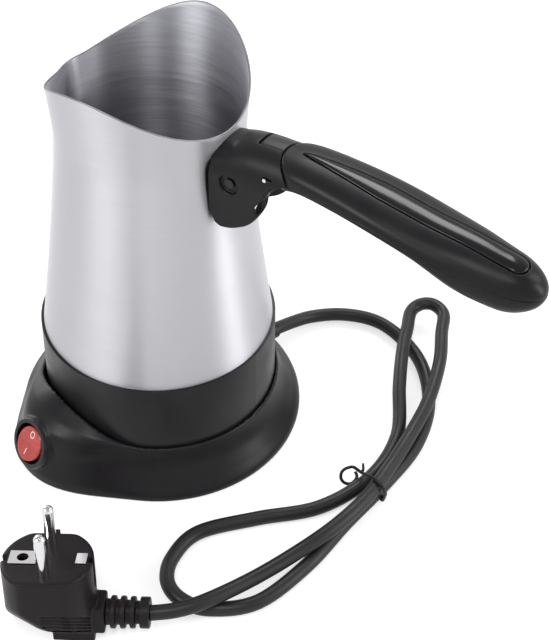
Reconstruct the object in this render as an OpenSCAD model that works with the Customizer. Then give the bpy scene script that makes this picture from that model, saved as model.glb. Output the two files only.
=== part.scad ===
// Electric Turkish coffee maker: a tapered steel jug fixed in a plastic heating base,
// with a fold-down handle, a latch button and a rocker switch in a lobe of the base.
// Millimetres. Origin: centre of the base on the floor. Handle along +X, spout along -X.

/* [Jug] */
// Outer diameter of the jug where it stands in the base
jug_d = 105; // [102:0.5:108]
// Diameter of the neck, the jug's narrowest place
neck_d = 80; // [76:0.5:83]
// Height of the neck above the floor
neck_h = 162; // [155:1:166]
// Height of the rim above the floor at its low sides
rim_low_h = 177.5; // [174:0.5:182]
// Diameter of the rim at its high sides
rim_d = 86.6; // [85:0.2:90]
// Radius of the saddle curve that the rim follows
rim_saddle_r = 54.8; // [52:0.2:60]
// Wall thickness of the jug
jug_wall = 0.8; // [0.6:0.1:1.2]
// Radius of the pouring channel of the spout
spout_r = 16; // [13:0.5:18]
// How far the spout's lip stands out from the round rim
spout_out = 1.4; // [0.8:0.1:2.5]

/* [Base] */
// Height of the base, up to the seam with the jug
base_h = 59; // [55:1:64]
// Height of the heating plate's top, on which the jug stands
plate_h = 46; // [44:0.5:48]
// Wall of the collar beside the jug
collar_wall = 1.2; // [1:0.1:2]
// How much the collar's foot is wider than its top
collar_flare = 0.4; // [0:0.1:1]
// Outer diameter of the skirt at the floor
skirt_d = 133.6; // [129:0.2:137]
// Height of the skirt's upper edge
skirt_h = 24; // [22:0.5:27]
// Wall of the skirt and of the switch lobe
skirt_wall = 2.4; // [2:0.1:3]
// Groove between the skirt and the collar
groove = 0.35; // [0.2:0.05:0.8]
// Height of the rubber foot under the base
foot_h = 1.6; // [1:0.2:3]
// Thickness of the bottom cover
cover_t = 2; // [1.6:0.2:3]
// Diameter of the screws that hold the bottom cover
base_screw_d = 3; // [2.5:0.5:3.5]

/* [Heater] */
// Diameter of the heating plate
plate_d = 86; // [82:0.5:88]
// Thickness of the heating plate
plate_t = 4; // [3:0.5:5]
// Diameter of the heating element's tube
element_d = 6.4; // [5:0.2:7]
// Diameter of the heating element's ring, along its tube
element_ring_d = 64; // [60:1:68]
// Diameter of the thermostat
thermostat_d = 16; // [12:0.5:18]

/* [Switch] */
// Outer diameter of the switch bezel
bezel_d = 24; // [22.6:0.2:24.4]
// Diameter of the switch barrel
barrel_d = 19.6; // [18:0.2:20]
// Direction of the switch around the base, in degrees from the handle
switch_az = -107; // [-116:1:-100]
// Rise of the switch's axis above level, in degrees
switch_rise = 23; // [20:1:28]
// Distance of the switch seat from the centre of the base
switch_seat_r = 73.9; // [73:0.1:75]
// Height of the switch seat
switch_seat_h = 17.7; // [17:0.1:18.4]
// Turn of the rocker from off to on, in degrees
rocker_turn = 20; // [14:1:22]

/* [Handle] */
// Distance of the fold axis from the neck's surface
pivot_out = 8.5; // [8:0.1:9.5]
// Depth of the fold axis below the rim
pivot_drop = 16; // [15:0.2:17]
// Diameter of the fold pin
pivot_d = 4.4; // [4:0.2:5]
// Length of the grip from the bracket to its tip
grip_len = 113; // [100:1:125]
// Half width of the bracket
bracket_half_w = 14.2; // [13.6:0.1:15]
// Thickness of the bracket's cheeks
cheek_t = 3.5; // [3:0.1:3.9]
// Wall of the grip's two shells
grip_wall = 2.2; // [1.8:0.1:2.6]
// Gap between the bracket and the grip
grip_gap = 0.3; // [0.25:0.05:0.6]
// Width of the glossy inlay in the grip
inlay_w = 9.2; // [7:0.2:10]
// Travel of the latch button
latch_travel = 1.5; // [1:0.1:1.6]

/* [Cord] */
// Diameter of the mains lead
cord_d = 6.6; // [6:0.1:6.8]
// Direction of the lead's exit around the base, in degrees
cord_az = 69; // [62:1:76]
// Height of the lead's exit
cord_h = 9; // [9:0.1:9.6]
// Diameter of the plug's face
plug_d = 38.2; // [37:0.2:39.4]
// Distance between the plug's pins
pin_pitch = 19; // [18:0.5:20]
// Diameter of the plug's pins
pin_d = 4.8; // [4:0.1:5]
// Free length of the plug's pins
pin_len = 19; // [17:0.5:20]

/* [Hidden] */
$fn = 96;

eps = 0.01;
big = 400;
press_gap = 0.02;
run_gap = 0.06;
slip_gap = 0.2;

jug_r = jug_d / 2;
neck_r = neck_d / 2;
rim_r = rim_d / 2;
skirt_r = skirt_d / 2;
plate_r = plate_d / 2;
pivot_x = neck_r + pivot_out;
pivot_z = rim_low_h - pivot_drop;
pivot_r = pivot_d / 2;
cord_r = cord_d / 2;

// The saddle's axis, and the height of the jug's blank that the saddle trims
saddle_z = rim_low_h + rim_saddle_r;
blank_h = saddle_z - sqrt(rim_saddle_r * rim_saddle_r - (rim_r + 1) * (rim_r + 1));

// Radius of the jug's outside at a height
function jug_at(z) = z <= base_h ? jug_r
    : z < neck_h ? neck_r + (jug_r - neck_r) * pow((neck_h - z) / (neck_h - base_h), 1.2)
    : neck_r + (rim_r - neck_r) * pow((z - neck_h) / (blank_h - neck_h), 1.5);
jug_steps = 26;
function jug_side(inset) = [for (i = [0 : jug_steps])
    let (z = base_h + (blank_h - base_h) * i / jug_steps) [jug_at(z) - inset, z]];

// Points of an arc, and a smooth curve through a table of [place, value] pairs
function arc(cx, cy, r, a0, a1, n) = [for (i = [0 : n])
    let (a = a0 + (a1 - a0) * i / n) [cx + r * cos(a), cy + r * sin(a)]];
function slope(t, i) = i == 0 ? (t[1][1] - t[0][1]) / (t[1][0] - t[0][0])
    : i == len(t) - 1 ? (t[i][1] - t[i - 1][1]) / (t[i][0] - t[i - 1][0])
    : (t[i + 1][1] - t[i - 1][1]) / (t[i + 1][0] - t[i - 1][0]);
function cell(t, x, i = 0) = i >= len(t) - 2 || x < t[i + 1][0] ? i : cell(t, x, i + 1);
function smooth(t, x) = let (i = cell(t, x), h = t[i + 1][0] - t[i][0],
        u = min(1, max(0, (x - t[i][0]) / h)))
    t[i][1] * (2 * u * u * u - 3 * u * u + 1) + t[i + 1][1] * (3 * u * u - 2 * u * u * u)
    + h * slope(t, i) * (u * u * u - 2 * u * u + u) + h * slope(t, i + 1) * (u * u * u - u * u);

// A closed skin over rings of equally many points
module skin(rings) {
    n = len(rings[0]);
    m = len(rings);
    polyhedron(
        points = [for (ring = rings) for (p = ring) p],
        faces = concat(
            [[for (j = [0 : n - 1]) j]],
            [for (i = [0 : m - 2]) for (j = [0 : n - 1]) let (k = (j + 1) % n)
                each [[i * n + j, (i + 1) * n + j, (i + 1) * n + k],
                    [i * n + j, (i + 1) * n + k, i * n + k]]],
            [[for (j = [n - 1 : -1 : 0]) (m - 1) * n + j]]));
}

// A round tube swept along points: each ring stands square to the path
function unit(v) = v / norm(v);
function side_of(d) = unit(cross([0, 0, 1], d));
function tube_rings(path, r, sides) = [for (i = [0 : len(path) - 1])
    let (d = unit(path[min(i + 1, len(path) - 1)] - path[max(i - 1, 0)]),
        s = abs(d[2]) > 0.99 ? [1, 0, 0] : side_of(d), t = cross(d, s))
    [for (j = [0 : sides - 1]) let (a = 360 * (j + 0.5) / sides)
        path[i] + r * (cos(a) * s + sin(a) * t)]];

// A smooth curve through points, and a wire that follows one
function held(p, i) = p[min(max(i, 0), len(p) - 1)];
function on_path(p, i, t) = let (a = held(p, i - 1), b = held(p, i), c = held(p, i + 1),
        d = held(p, i + 2))
    0.5 * (2 * b + t * (c - a) + t * t * (2 * a - 5 * b + 4 * c - d)
        + t * t * t * (3 * b - a - 3 * c + d));
function curve(p, n) = concat([for (i = [0 : len(p) - 2]) for (k = [0 : n - 1]) on_path(p, i, k / n)],
    [p[len(p) - 1]]);
wire_r = 0.9;
module wire(points) skin(tube_rings(curve(points, 3), wire_r, 8));

function polar(r, az, z) = [r * cos(az), r * sin(az), z];
module at_az(az) { rotate([0, 0, az]) children(); }
module tube(r_out, r_in, z0, z1) {
    difference() {
        translate([0, 0, z0]) cylinder(r = r_out, h = z1 - z0);
        translate([0, 0, z0 - 1]) cylinder(r = r_in, h = z1 - z0 + 2);
    }
}

// ---- jug ----
jug_corner_r = 3;
spout_reach = jug_at(rim_low_h) + spout_out;
spout_lean = 4.9;
module jug_blank(inset) {
    floor_z = plate_h + inset;
    rotate_extrude() polygon(concat([[0, floor_z]],
        arc(jug_r - jug_corner_r, plate_h + jug_corner_r, jug_corner_r - inset, -90, 0, 5),
        jug_side(inset), [[0, blank_h]]));
}
module spout(inset) {
    translate([-spout_reach + spout_r, 0, rim_low_h]) rotate([0, -spout_lean, 0])
        translate([0, 0, -50]) cylinder(r = spout_r - inset, h = 100);
}
module saddle() {
    translate([0, 0, saddle_z]) rotate([0, 90, 0])
        cylinder(r = rim_saddle_r, h = big, center = true, $fn = 200);
}
module jug() color("gainsboro") difference() {
    union() {
        jug_blank(0);
        intersection() {
            spout(0);
            translate([-big, -big / 2, neck_h - 20]) cube([big, big, big]);
        }
    }
    jug_blank(jug_wall);
    translate([0, 0, blank_h - 1]) cylinder(r = rim_r - jug_wall, h = 2);
    spout(jug_wall);
    saddle();
}

// ---- heating base ----
collar_top_r = jug_r + slip_gap / 2 + collar_wall;
collar_foot_r = collar_top_r + collar_flare;
collar_inner_r = jug_r + slip_gap / 2;
ledge_r = plate_r + 1.5;
ledge_t = 3.5;
ledge_z = plate_h - 2.5;
chamber_r = collar_foot_r - 3.2;
collar_z = 14;
web_z = 30;
web_t = 2.5;
stud_r = 2;
wire_hole_r = 7;
wire_hole_out = 24;
post_az = [0, 125, 215];
post_out = 40;
post_r = 4;
cover_z = foot_h + cover_t;
tab_az = [-19, 41, 101, 161];
tab_t = 2;
tab_r = collar_foot_r + 2;
clamp_w = 22;
clamp_h = 12.2;
module collar() color([0.14, 0.14, 0.15]) difference() {
    union() {
        rotate_extrude() polygon([[chamber_r, collar_z], [collar_foot_r, collar_z],
            [collar_foot_r, skirt_h], [collar_top_r, base_h], [collar_inner_r, base_h],
            [collar_inner_r, ledge_z], [ledge_r, ledge_z], [ledge_r, ledge_z - ledge_t],
            [chamber_r, ledge_z - ledge_t], [chamber_r, web_z + web_t], [0, web_z + web_t],
            [0, web_z], [chamber_r, web_z]]);
        for (a = post_az) at_az(a) translate([post_out, 0, cover_z])
            cylinder(r = post_r, h = web_z - cover_z + eps, $fn = 48);
        for (a = tab_az) at_az(a) intersection() {
            tube(tab_r, chamber_r + 1, collar_z, collar_z + tab_t);
            translate([0, -6, 0]) cube([big, 12, big]);
        }
    }
    translate([0, 0, web_z - 1]) cylinder(r = stud_r + slip_gap, h = web_t + 2, $fn = 48);
    for (a = [cord_az, switch_az]) at_az(a) translate([wire_hole_out, 0, web_z - 1])
        cylinder(r = wire_hole_r, h = web_t + 2, $fn = 48);
    for (a = post_az) at_az(a) translate([post_out, 0, cover_z - 1])
        cylinder(r = base_screw_d / 2 + press_gap, h = 12, $fn = 32);
    at_az(cord_az) translate([chamber_r - 4, -clamp_w / 2 - 1, 0])
        cube([20, clamp_w + 2, cover_z + clamp_h + 2]);
    at_switch() translate([0, 0, -barrel_deep - slip_gap])
        cylinder(r = barrel_d / 2 + slip_gap, h = barrel_deep + slip_gap);
    at_switch() translate([-block_l_half - slip_gap, -block_w_half - slip_gap, -block_deep - 1])
        cube([2 * (block_l_half + slip_gap), 2 * (block_w_half + slip_gap), block_deep + 1]);
}

// The skirt sweeps out to the floor and carries the switch on a pad in a lobe
lobe_out = switch_seat_r - 31.2;
skirt_lip_r = collar_foot_r + groove;
skirt_top_r = skirt_lip_r + 1.45;
lobe_tall = 36;
skirt_low = 0.4;
skirt_side = [[skirt_r, 3], [skirt_r - 3.7, 8], [skirt_r - 7.7, collar_z],
    [skirt_top_r + 0.5, 20], [skirt_top_r, skirt_h]];
lobe_side = [[34.8, 6], [30.7, 16.4], [27.6, 27.7], [11.8, lobe_tall]];
pad_deep = 5;
module skirt_form() rotate_extrude()
    polygon(concat([[0, skirt_low], [skirt_r, skirt_low]], skirt_side, [[0, skirt_h]]));
module lobe_form(inset, low) at_az(switch_az) translate([lobe_out, 0, 0]) rotate_extrude()
    polygon(concat([[0, low], [lobe_side[0][0] - inset, low]],
        [for (p = lobe_side) [p[0] - inset, p[1]]], [[0, lobe_tall]]));
module at_switch() at_az(switch_az) translate([switch_seat_r, 0, switch_seat_h])
    rotate([0, 90 - switch_rise, 0]) children();
shoulder_z = collar_z + tab_t;
tab_room_r = tab_r + 0.3;
module skirt_room() rotate_extrude() polygon(concat([[0, -1], [skirt_r - skirt_wall, -1]],
    [for (i = [0, 1]) [skirt_side[i][0] - skirt_wall, skirt_side[i][1]]],
    [[tab_room_r, collar_z], [tab_room_r, shoulder_z], [skirt_lip_r, shoulder_z],
    [skirt_lip_r, base_h], [0, base_h]]));
module skirt() color([0.15, 0.15, 0.16]) difference() {
    union() {
        skirt_form();
        lobe_form(0, skirt_low);
        at_switch() translate([0, 0, -pad_deep]) cylinder(r = bezel_d / 2, h = pad_deep);
    }
    skirt_room();
    lobe_form(skirt_wall, -1);
    at_switch() translate([0, 0, -12]) cylinder(r = barrel_d / 2 + slip_gap, h = 13);
    at_switch() cylinder(r = bezel_d / 2 + slip_gap, h = 30);
    at_az(cord_az) translate([0, 0, cord_h]) rotate([0, 90, 0]) gland_form(0.1);
}

lobe_inner_r = lobe_side[0][0] - skirt_wall - slip_gap;
// The cover fits inside the skirt at the height of its upper face
cover_r = smooth([for (p = skirt_side) [p[1], p[0]]], cover_z) - skirt_wall - 2 * slip_gap;
module bottom_cover() color([0.2, 0.2, 0.2]) difference() {
    translate([0, 0, foot_h]) union() {
        cylinder(r = cover_r, h = cover_t);
        at_az(switch_az) translate([lobe_out, 0, 0]) cylinder(r = lobe_inner_r, h = cover_t);
    }
    for (a = post_az) at_az(a) translate([post_out, 0, foot_h]) screw_form(0.05);
    for (s = [-1, 1]) at_az(cord_az) translate([clamp_out, s * clamp_screw_y, 0])
        cylinder(r = clamp_screw_r + press_gap, h = 20, $fn = 24);
}
foot_r = 54;
foot_w = 6;
module foot_ring() color([0.1, 0.1, 0.1]) tube(foot_r, foot_r - foot_w, 0, foot_h);
module lobe_foot() color([0.1, 0.1, 0.1]) at_az(switch_az)
    translate([lobe_out + lobe_inner_r - 9, 0, 0]) cylinder(r = 5, h = foot_h, $fn = 48);

// A countersunk screw: its head lies flush in the cover
module screw_form(gap) {
    cylinder(r1 = base_screw_d + gap, r2 = base_screw_d / 2 + gap, h = base_screw_d / 2,
        $fn = 32);
    cylinder(r = base_screw_d / 2 + gap, h = cover_t + 10, $fn = 32);
}
module base_screws() color("silver") for (a = post_az) at_az(a)
    translate([post_out, 0, foot_h]) screw_form(0);

// ---- heater under the jug ----
seal_r = collar_inner_r - 0.1;
module jug_seal() color([0.6, 0.2, 0.15]) tube(seal_r, plate_r + 2, ledge_z, plate_h);
plate_low = plate_h - plate_t;
module heater_plate() color("silver") translate([0, 0, plate_low]) cylinder(r = plate_r, h = plate_t);

element_r = element_d / 2;
element_z = plate_low - 0.8 * element_r;
element_gap_az = 159;
element_gap = 20;
leg_low = web_z + web_t + 1.6;
module element_leg(az) {
    translate(polar(element_ring_d / 2, az, leg_low))
        cylinder(r = element_r - 1.2, h = plate_low - leg_low + 1, $fn = 32);
}
leg_az = [element_gap_az - element_gap / 2, element_gap_az + element_gap / 2];
module heating_element() color("dimgray") difference() {
    union() {
        at_az(leg_az[1] - 6) translate([0, 0, element_z])
            rotate_extrude(angle = 360 - element_gap + 12)
                translate([element_ring_d / 2, 0]) circle(r = element_r, $fn = 32);
        for (a = leg_az) element_leg(a);
    }
    translate([0, 0, plate_low]) cylinder(r = plate_r, h = 10);
}
thermostat_at = polar(15, -150, 0);
thermostat_h = 5;
module thermostat() color("darkgray") translate([thermostat_at[0], thermostat_at[1], 0]) {
    translate([0, 0, plate_low - thermostat_h]) cylinder(r = thermostat_d / 2, h = thermostat_h);
    for (s = [-1, 1]) at_az(30) translate([-2, s * 4 - 0.4, leg_low])
        cube([4, 0.8, plate_low - thermostat_h - leg_low + eps]);
}
fuse_at = polar(15, 110, plate_low - 2.2);
fuse_r = 2;
fuse_len = 11;
module at_fuse() translate(fuse_at) rotate([0, 0, 14]) rotate([0, 90, 0]) children();
module thermal_fuse() color("tan") at_fuse() cylinder(r = fuse_r, h = fuse_len, center = true,
    $fn = 32);
module fuse_clip() color("silver") difference() {
    intersection() {
        union() {
            at_fuse() cylinder(r = fuse_r + 0.8, h = 5, center = true, $fn = 32);
            translate([fuse_at[0], fuse_at[1], plate_low - 0.4]) rotate([0, 0, 14])
                cube([5, 11, 0.8], center = true);
        }
        translate([-big / 2, -big / 2, 0]) cube([big, big, plate_low]);
    }
    at_fuse() cylinder(r = fuse_r + press_gap, h = 8, center = true, $fn = 32);
}
earth_at = polar(18, 30, plate_low);
module earth_tab() color("silver") translate([earth_at[0], earth_at[1], leg_low])
    union() {
        translate([-2.4, -0.4, 0]) cube([4.8, 0.8, plate_low - leg_low]);
        translate([-2.4, -0.4, plate_low - leg_low - 0.8]) cube([4.8, 6, 0.8]);
    }
stud_low = 20;
module centre_stud() color("silver") translate([0, 0, stud_low])
    cylinder(r = stud_r, h = plate_low - stud_low, $fn = 48);
module stud_nut() color("silver") translate([0, 0, web_z - 3.2]) difference() {
    cylinder(r = 4, h = 3.2, $fn = 6);
    translate([0, 0, -1]) cylinder(r = stud_r + press_gap, h = 6, $fn = 48);
}

// ---- switch: its axis is local Z, "up the slope" is local -X ----
bezel_t = 1.4;
barrel_deep = 6;
block_deep = 15;
block_l_half = 6;
block_w_half = 8.5;
rocker_r = bezel_d / 2 - 2.6;
rocker_axis_z = 0.4;
well_deep = 4.6;
module switch_housing() color([0.1, 0.1, 0.1]) at_switch() difference() {
    union() {
        cylinder(r1 = bezel_d / 2, r2 = bezel_d / 2 - 0.6, h = bezel_t);
        translate([0, 0, -barrel_deep]) cylinder(r = barrel_d / 2, h = barrel_deep + eps);
        translate([-block_l_half, -block_w_half, -block_deep])
            cube([2 * block_l_half, 2 * block_w_half, block_deep - barrel_deep + eps]);
    }
    translate([0, 0, -well_deep]) cylinder(r = rocker_r + 0.25, h = 20);
    translate([0, 0, rocker_axis_z]) rotate([90, 0, 0])
        cylinder(r = rocker_pin_r + run_gap, h = barrel_d - 0.6, center = true, $fn = 32);
}
rocker_pin_r = 1;
terminal_len = 7;
module switch_terminals() color("gold") at_switch() for (s = [-1, 1])
    translate([s * 3.5 - 0.4, -2.4, -block_deep - terminal_len]) cube([0.8, 4.8, terminal_len]);
// Rocker: two flats that meet on the axis; the lower half stands out when it is off
module rocker() color([0.8, 0.05, 0.04]) at_switch() translate([0, 0, rocker_axis_z]) {
    intersection() {
        translate([0, 0, -4]) cylinder(r = rocker_r - 0.5, h = 12);
        rotate([90, 0, 0]) linear_extrude(height = big, center = true) rotate(rocker_turn / 2)
            polygon([[-11.5, 1.7], [0, 0.9], [11.5, 1.7], [11.5, -1.2], [4, -2.4], [-4, -2.4],
                [-11.5, -1.2]]);
    }
    rotate([90, 0, 0]) cylinder(r = rocker_pin_r, h = barrel_d - 1.4, center = true, $fn = 32);
}

// ---- handle bracket, fixed to the jug ----
module at_pivot() translate([pivot_x, 0, pivot_z]) children();
// Top edge, half width and roundness of the bracket and grip along X from the fold axis
bracket_top = [[-14, 11.6], [-5.8, 13.7], [-0.5, 15.5], [7.5, 16.8], [21.5, 17.5], [34, 17.8]];
bracket_round = [[-14, 2], [-6, 2.05], [8, 2.25], [34, 2.36]];
shoulder_low = 1.5;
function dome(half_w, low, high, n, round_by) = [for (i = [0 : n])
    let (a = 180 * i / n, c = cos(a), s = sin(a))
    [half_w * sign(c) * pow(abs(c), 2 / round_by), low + (high - low) * pow(abs(s), 2 / round_by)]];
bracket_x = [for (i = [0 : 12]) -14 + 4 * i];
module bracket_form(inset) at_pivot() skin([for (x = bracket_x)
    let (d = concat([[bracket_half_w - inset, -30]],
        dome(bracket_half_w - inset, shoulder_low, smooth(bracket_top, x) - inset, 20,
            smooth(bracket_round, x)), [[-bracket_half_w + inset, -30]]))
    [for (p = d) [x, p[0], p[1]]]]);
// The cheeks' lower outline, round about the fold axis
cheek_r = [[-100, 23.5], [-88, 21.9], [-73, 20], [-36, 17.2], [0, 17.2]];
cheek_outline = concat(
    [for (i = [0 : 20]) let (a = -100 + 5 * i, r = smooth(cheek_r, a)) [r * cos(a), r * sin(a)]],
    [[17.8, 2.2], [20, 5.2], [22.7, 7.4], [27.2, 9.4], [28.4, 9.7], [28.4, 20], [-14, 20], [-14, -20],
    [-8.5, -18.5], [-6.9, -22]]);
nose_out = 31.4;
nose_r = 13.3;
back_wall = 3;
back_wall_low = 1.6;
skin_t = 2.5;
notch_r = 13.6;
leaf_t = 0.6;
latch_x = 12.4;
latch_y = 3;
latch_front = 7.3;
latch_l = 14.2;
latch_w = 11.2;
shelf_z = 5.9;
shelf_t = 1.4;
latch_stem_r = 2;
latch_pin_at = [16.3, 8.9];
latch_pin_r = 0.8;
recess_r = 3.6;
recess_t = 1.5;
jug_stud_z = [7.3, -15.5];
jug_stud_r = 2;
back_x = max(neck_r + back_wall, jug_at(pivot_z + jug_stud_z[1]) + back_wall_low);
// Open at its rear end, where the button's round edge faces the grip's nose
module latch_opening(gap) at_pivot()
    translate([latch_front - gap, latch_y - latch_w / 2 - gap, 10])
        cube([latch_l + gap, latch_w + 2 * gap, 20]);
module notch_band(r0, r1, y0, y1) at_pivot() for (s = [-1, 1]) rotate([90, 0, 0])
    translate([0, 0, s > 0 ? y0 : -y1]) linear_extrude(height = y1 - y0)
        polygon(concat(arc(0, 0, r1, -38, 2, 10), arc(0, 0, r0, 2, -38, 10)));
module handle_bracket() color([0.13, 0.13, 0.14]) difference() {
    intersection() {
        bracket_form(0);
        at_pivot() rotate([90, 0, 0]) linear_extrude(height = 60, center = true)
            polygon(cheek_outline);
    }
    jug_blank(-0.01);
    saddle_front();
    difference() {
        intersection() {
            bracket_form(skin_t);
            translate([back_x, -bracket_half_w + cheek_t, pivot_z - 40])
                cube([60, 2 * (bracket_half_w - cheek_t), 60]);
        }
        at_pivot() translate([8.5, -20, shelf_z]) cube([9, 40, shelf_t]);
    }
    nose_room();
    latch_opening(grip_gap);
    at_pivot() translate([latch_x, latch_y, 0])
        cylinder(r = latch_stem_r + run_gap, h = 20, $fn = 32);
    at_pivot() rotate([90, 0, 0]) cylinder(r = pivot_r + press_gap, h = 60, center = true);
    for (s = [-1, 1]) at_pivot() translate([0, s * bracket_half_w, 0]) rotate([90, 0, 0])
        cylinder(r = recess_r, h = 2 * recess_t, center = true, $fn = 48);
    notch_band(notch_r, 30, bracket_half_w - cheek_t + 0.6, bracket_half_w + 1);
    at_pivot() translate([latch_pin_at[0], 0, latch_pin_at[1]]) rotate([90, 0, 0])
        cylinder(r = latch_pin_r + press_gap, h = 60, center = true, $fn = 24);
    for (z = jug_stud_z) translate([0, 0, pivot_z + z]) rotate([0, 90, 0])
        cylinder(r = jug_stud_r + press_gap, h = 60, $fn = 32);
}
module nose_room() translate([pivot_x + nose_out, 0, 0]) cylinder(r = nose_r + grip_gap, h = big);
// Room for the jug's rim beside the bracket
module saddle_front() intersection() {
    cylinder(r = jug_at(rim_low_h) + 0.6, h = big);
    translate([0, -big / 2, rim_low_h - 2]) cube([big, big, big]);
}
nut_t = 2;
module bracket_studs() color("silver") difference() {
    for (z = jug_stud_z) translate([0, 0, pivot_z + z]) rotate([0, 90, 0])
        cylinder(r = jug_stud_r, h = back_x + nut_t + 0.4, $fn = 32);
    jug_blank(0);
}
module bracket_nuts() color("silver") for (z = jug_stud_z)
    translate([back_x, 0, pivot_z + z]) rotate([0, 90, 0]) difference() {
        cylinder(r = 3.5, h = nut_t, $fn = 6);
        translate([0, 0, -1]) cylinder(r = jug_stud_r + press_gap, h = 5, $fn = 32);
    }
module pivot_pin() color("silver") at_pivot() rotate([90, 0, 0])
    cylinder(r = pivot_r, h = 2 * (bracket_half_w - recess_t + 0.7), center = true);
module leaf_springs() color("lightgray")
    notch_band(notch_r, notch_r + leaf_t, bracket_half_w - cheek_t + 0.6, bracket_half_w - 0.5);
module latch_pin() color("silver") at_pivot() translate([latch_pin_at[0], 0, latch_pin_at[1]])
    rotate([90, 0, 0]) cylinder(r = latch_pin_r, h = 2 * bracket_half_w - 1.6, center = true,
        $fn = 24);
head_low = 11.7;
stem_low = 5.7;
module latch_button() color([0.12, 0.12, 0.13]) union() {
    difference() {
        intersection() {
            bracket_form(0);
            latch_opening(0);
            at_pivot() translate([0, -30, head_low]) cube([60, 60, 60]);
        }
        nose_room();
    }
    at_pivot() translate([latch_x, latch_y, stem_low])
        cylinder(r = latch_stem_r, h = head_low - stem_low + 1, $fn = 32);
}
spring_wire = 0.35;
spring_r = 2.45;
spring_turns = 3;
spring_low = shelf_z + shelf_t;
module latch_spring() color("silver") at_pivot() translate([latch_x, latch_y, 0])
    skin(tube_rings([for (i = [0 : 36]) let (a = 360 * spring_turns * i / 36)
        [spring_r * cos(a), spring_r * sin(a), spring_low + spring_wire
            + (head_low - spring_low - 2 * spring_wire) * i / 36]], spring_wire, 6));

// ---- folding handle ----
// Along the grip, from the fold axis: top, underside and half width at shares of its length
function grip_at(share) = nose_out - nose_r + grip_len * share;
grip_top = [for (p = [[-0.05, 16.5], [0, 17], [0.1, 17.9], [0.25, 17.1], [0.4, 15.2],
    [0.56, 12.6], [0.72, 10.8], [0.87, 8.4], [1, 7]]) [grip_at(p[0]), p[1]]];
grip_low = [for (p = [[-0.05, 0.2], [0, 1.4], [0.1, 4.8], [0.25, 4.4], [0.4, 2.4],
    [0.56, -1.6], [0.72, -9.1], [0.87, -11.9], [1, -11]]) [grip_at(p[0]), p[1]]];
grip_half_w = [for (p = [[-0.05, 12.7], [0.1, 13.2], [0.25, 14.2], [0.4, 15.1], [0.56, 15.2],
    [0.72, 14.5], [0.87, 12], [1, 9.5]]) [grip_at(p[0]), p[1]]];
tip_len = 16;
grip_end = grip_at(1);
function tip_share(x, end) = x < end - tip_len ? 1
    : pow(max(0, 1 - pow((x - end + tip_len) / tip_len, 2.2)), 1 / 2.2);
function grip_ring(x, inset, end, n = 28) = let (
        k = tip_share(x, end), w = (smooth(grip_half_w, x) - inset) * k,
        hi = smooth(grip_top, x) - inset, lo = smooth(grip_low, x) + inset,
        mid = (hi + lo) / 2, h = (hi - lo) / 2 * k)
    [for (i = [0 : n - 1]) let (a = 360 * i / n, c = cos(a), s = sin(a))
        [x, w * sign(c) * pow(abs(c), 2 / 2.36), mid + h * sign(s) * pow(abs(s), 2 / 2.36)]];
function grip_stations(start, end) = concat([for (i = [0 : 10]) start
    + (end - tip_len - start) * i / 10], [for (a = [18, 36, 54, 70, 84]) end - tip_len
    + tip_len * sin(a)]);
module grip_form(inset) at_pivot() intersection() {
    skin([for (x = grip_stations(grip_at(-0.05), grip_end - inset))
        grip_ring(x, inset, grip_end - inset)]);
    translate([0, 0, -40]) union() {
        translate([nose_out, 0, 0]) cylinder(r = nose_r - inset, h = 80);
        translate([nose_out, -30, 0]) cube([big, 60, 80]);
    }
}
// The two shells meet on this line
seam_line = [for (p = [[-0.1, 9.5], [0.1, 9.6], [0.4, 9], [0.7, 3], [1.1, -3]])
    [grip_at(p[0]), p[1]]];
module above_seam() at_pivot() rotate([90, 0, 0]) linear_extrude(height = 80, center = true)
    polygon(concat([for (i = [0 : 12]) let (x = grip_at(-0.1 + 0.1 * i)) [x, smooth(seam_line, x)]],
        [[grip_at(1.1), 60], [grip_at(-0.1), 60]]));
tang_low = 7.9;
tang_t = 5;
tang_half_w = 4.5;
tang_end = 55.5;
core_half_w = bracket_half_w - cheek_t - 0.5;
screw_x = [35.5, 49.5];
grip_screw_r = 1.3;
boss_r = 3;
module handle_core() color([0.2, 0.2, 0.21]) at_pivot() difference() {
    rotate([90, 0, 0]) union() {
        cylinder(r = 5, h = 2 * core_half_w, center = true);
        linear_extrude(height = 2 * core_half_w, center = true)
            polygon([[0, -4.5], [14, -4.5], [17.6, -2.5], [17.6, 3.8], [0, 3.8]]);
        linear_extrude(height = 2 * tang_half_w, center = true)
            polygon([[10, -4.2], [17, -2.6], [27, 6.2], [30, tang_low], [tang_end, tang_low],
                [tang_end, tang_low + tang_t], [24, tang_low + tang_t], [19.5, 3.8], [10, 3.8]]);
    }
    rotate([90, 0, 0]) cylinder(r = pivot_r + run_gap, h = 60, center = true);
    for (x = screw_x) translate([x, 0, 0]) cylinder(r = grip_screw_r + press_gap, h = 40, $fn = 24);
}
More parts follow.
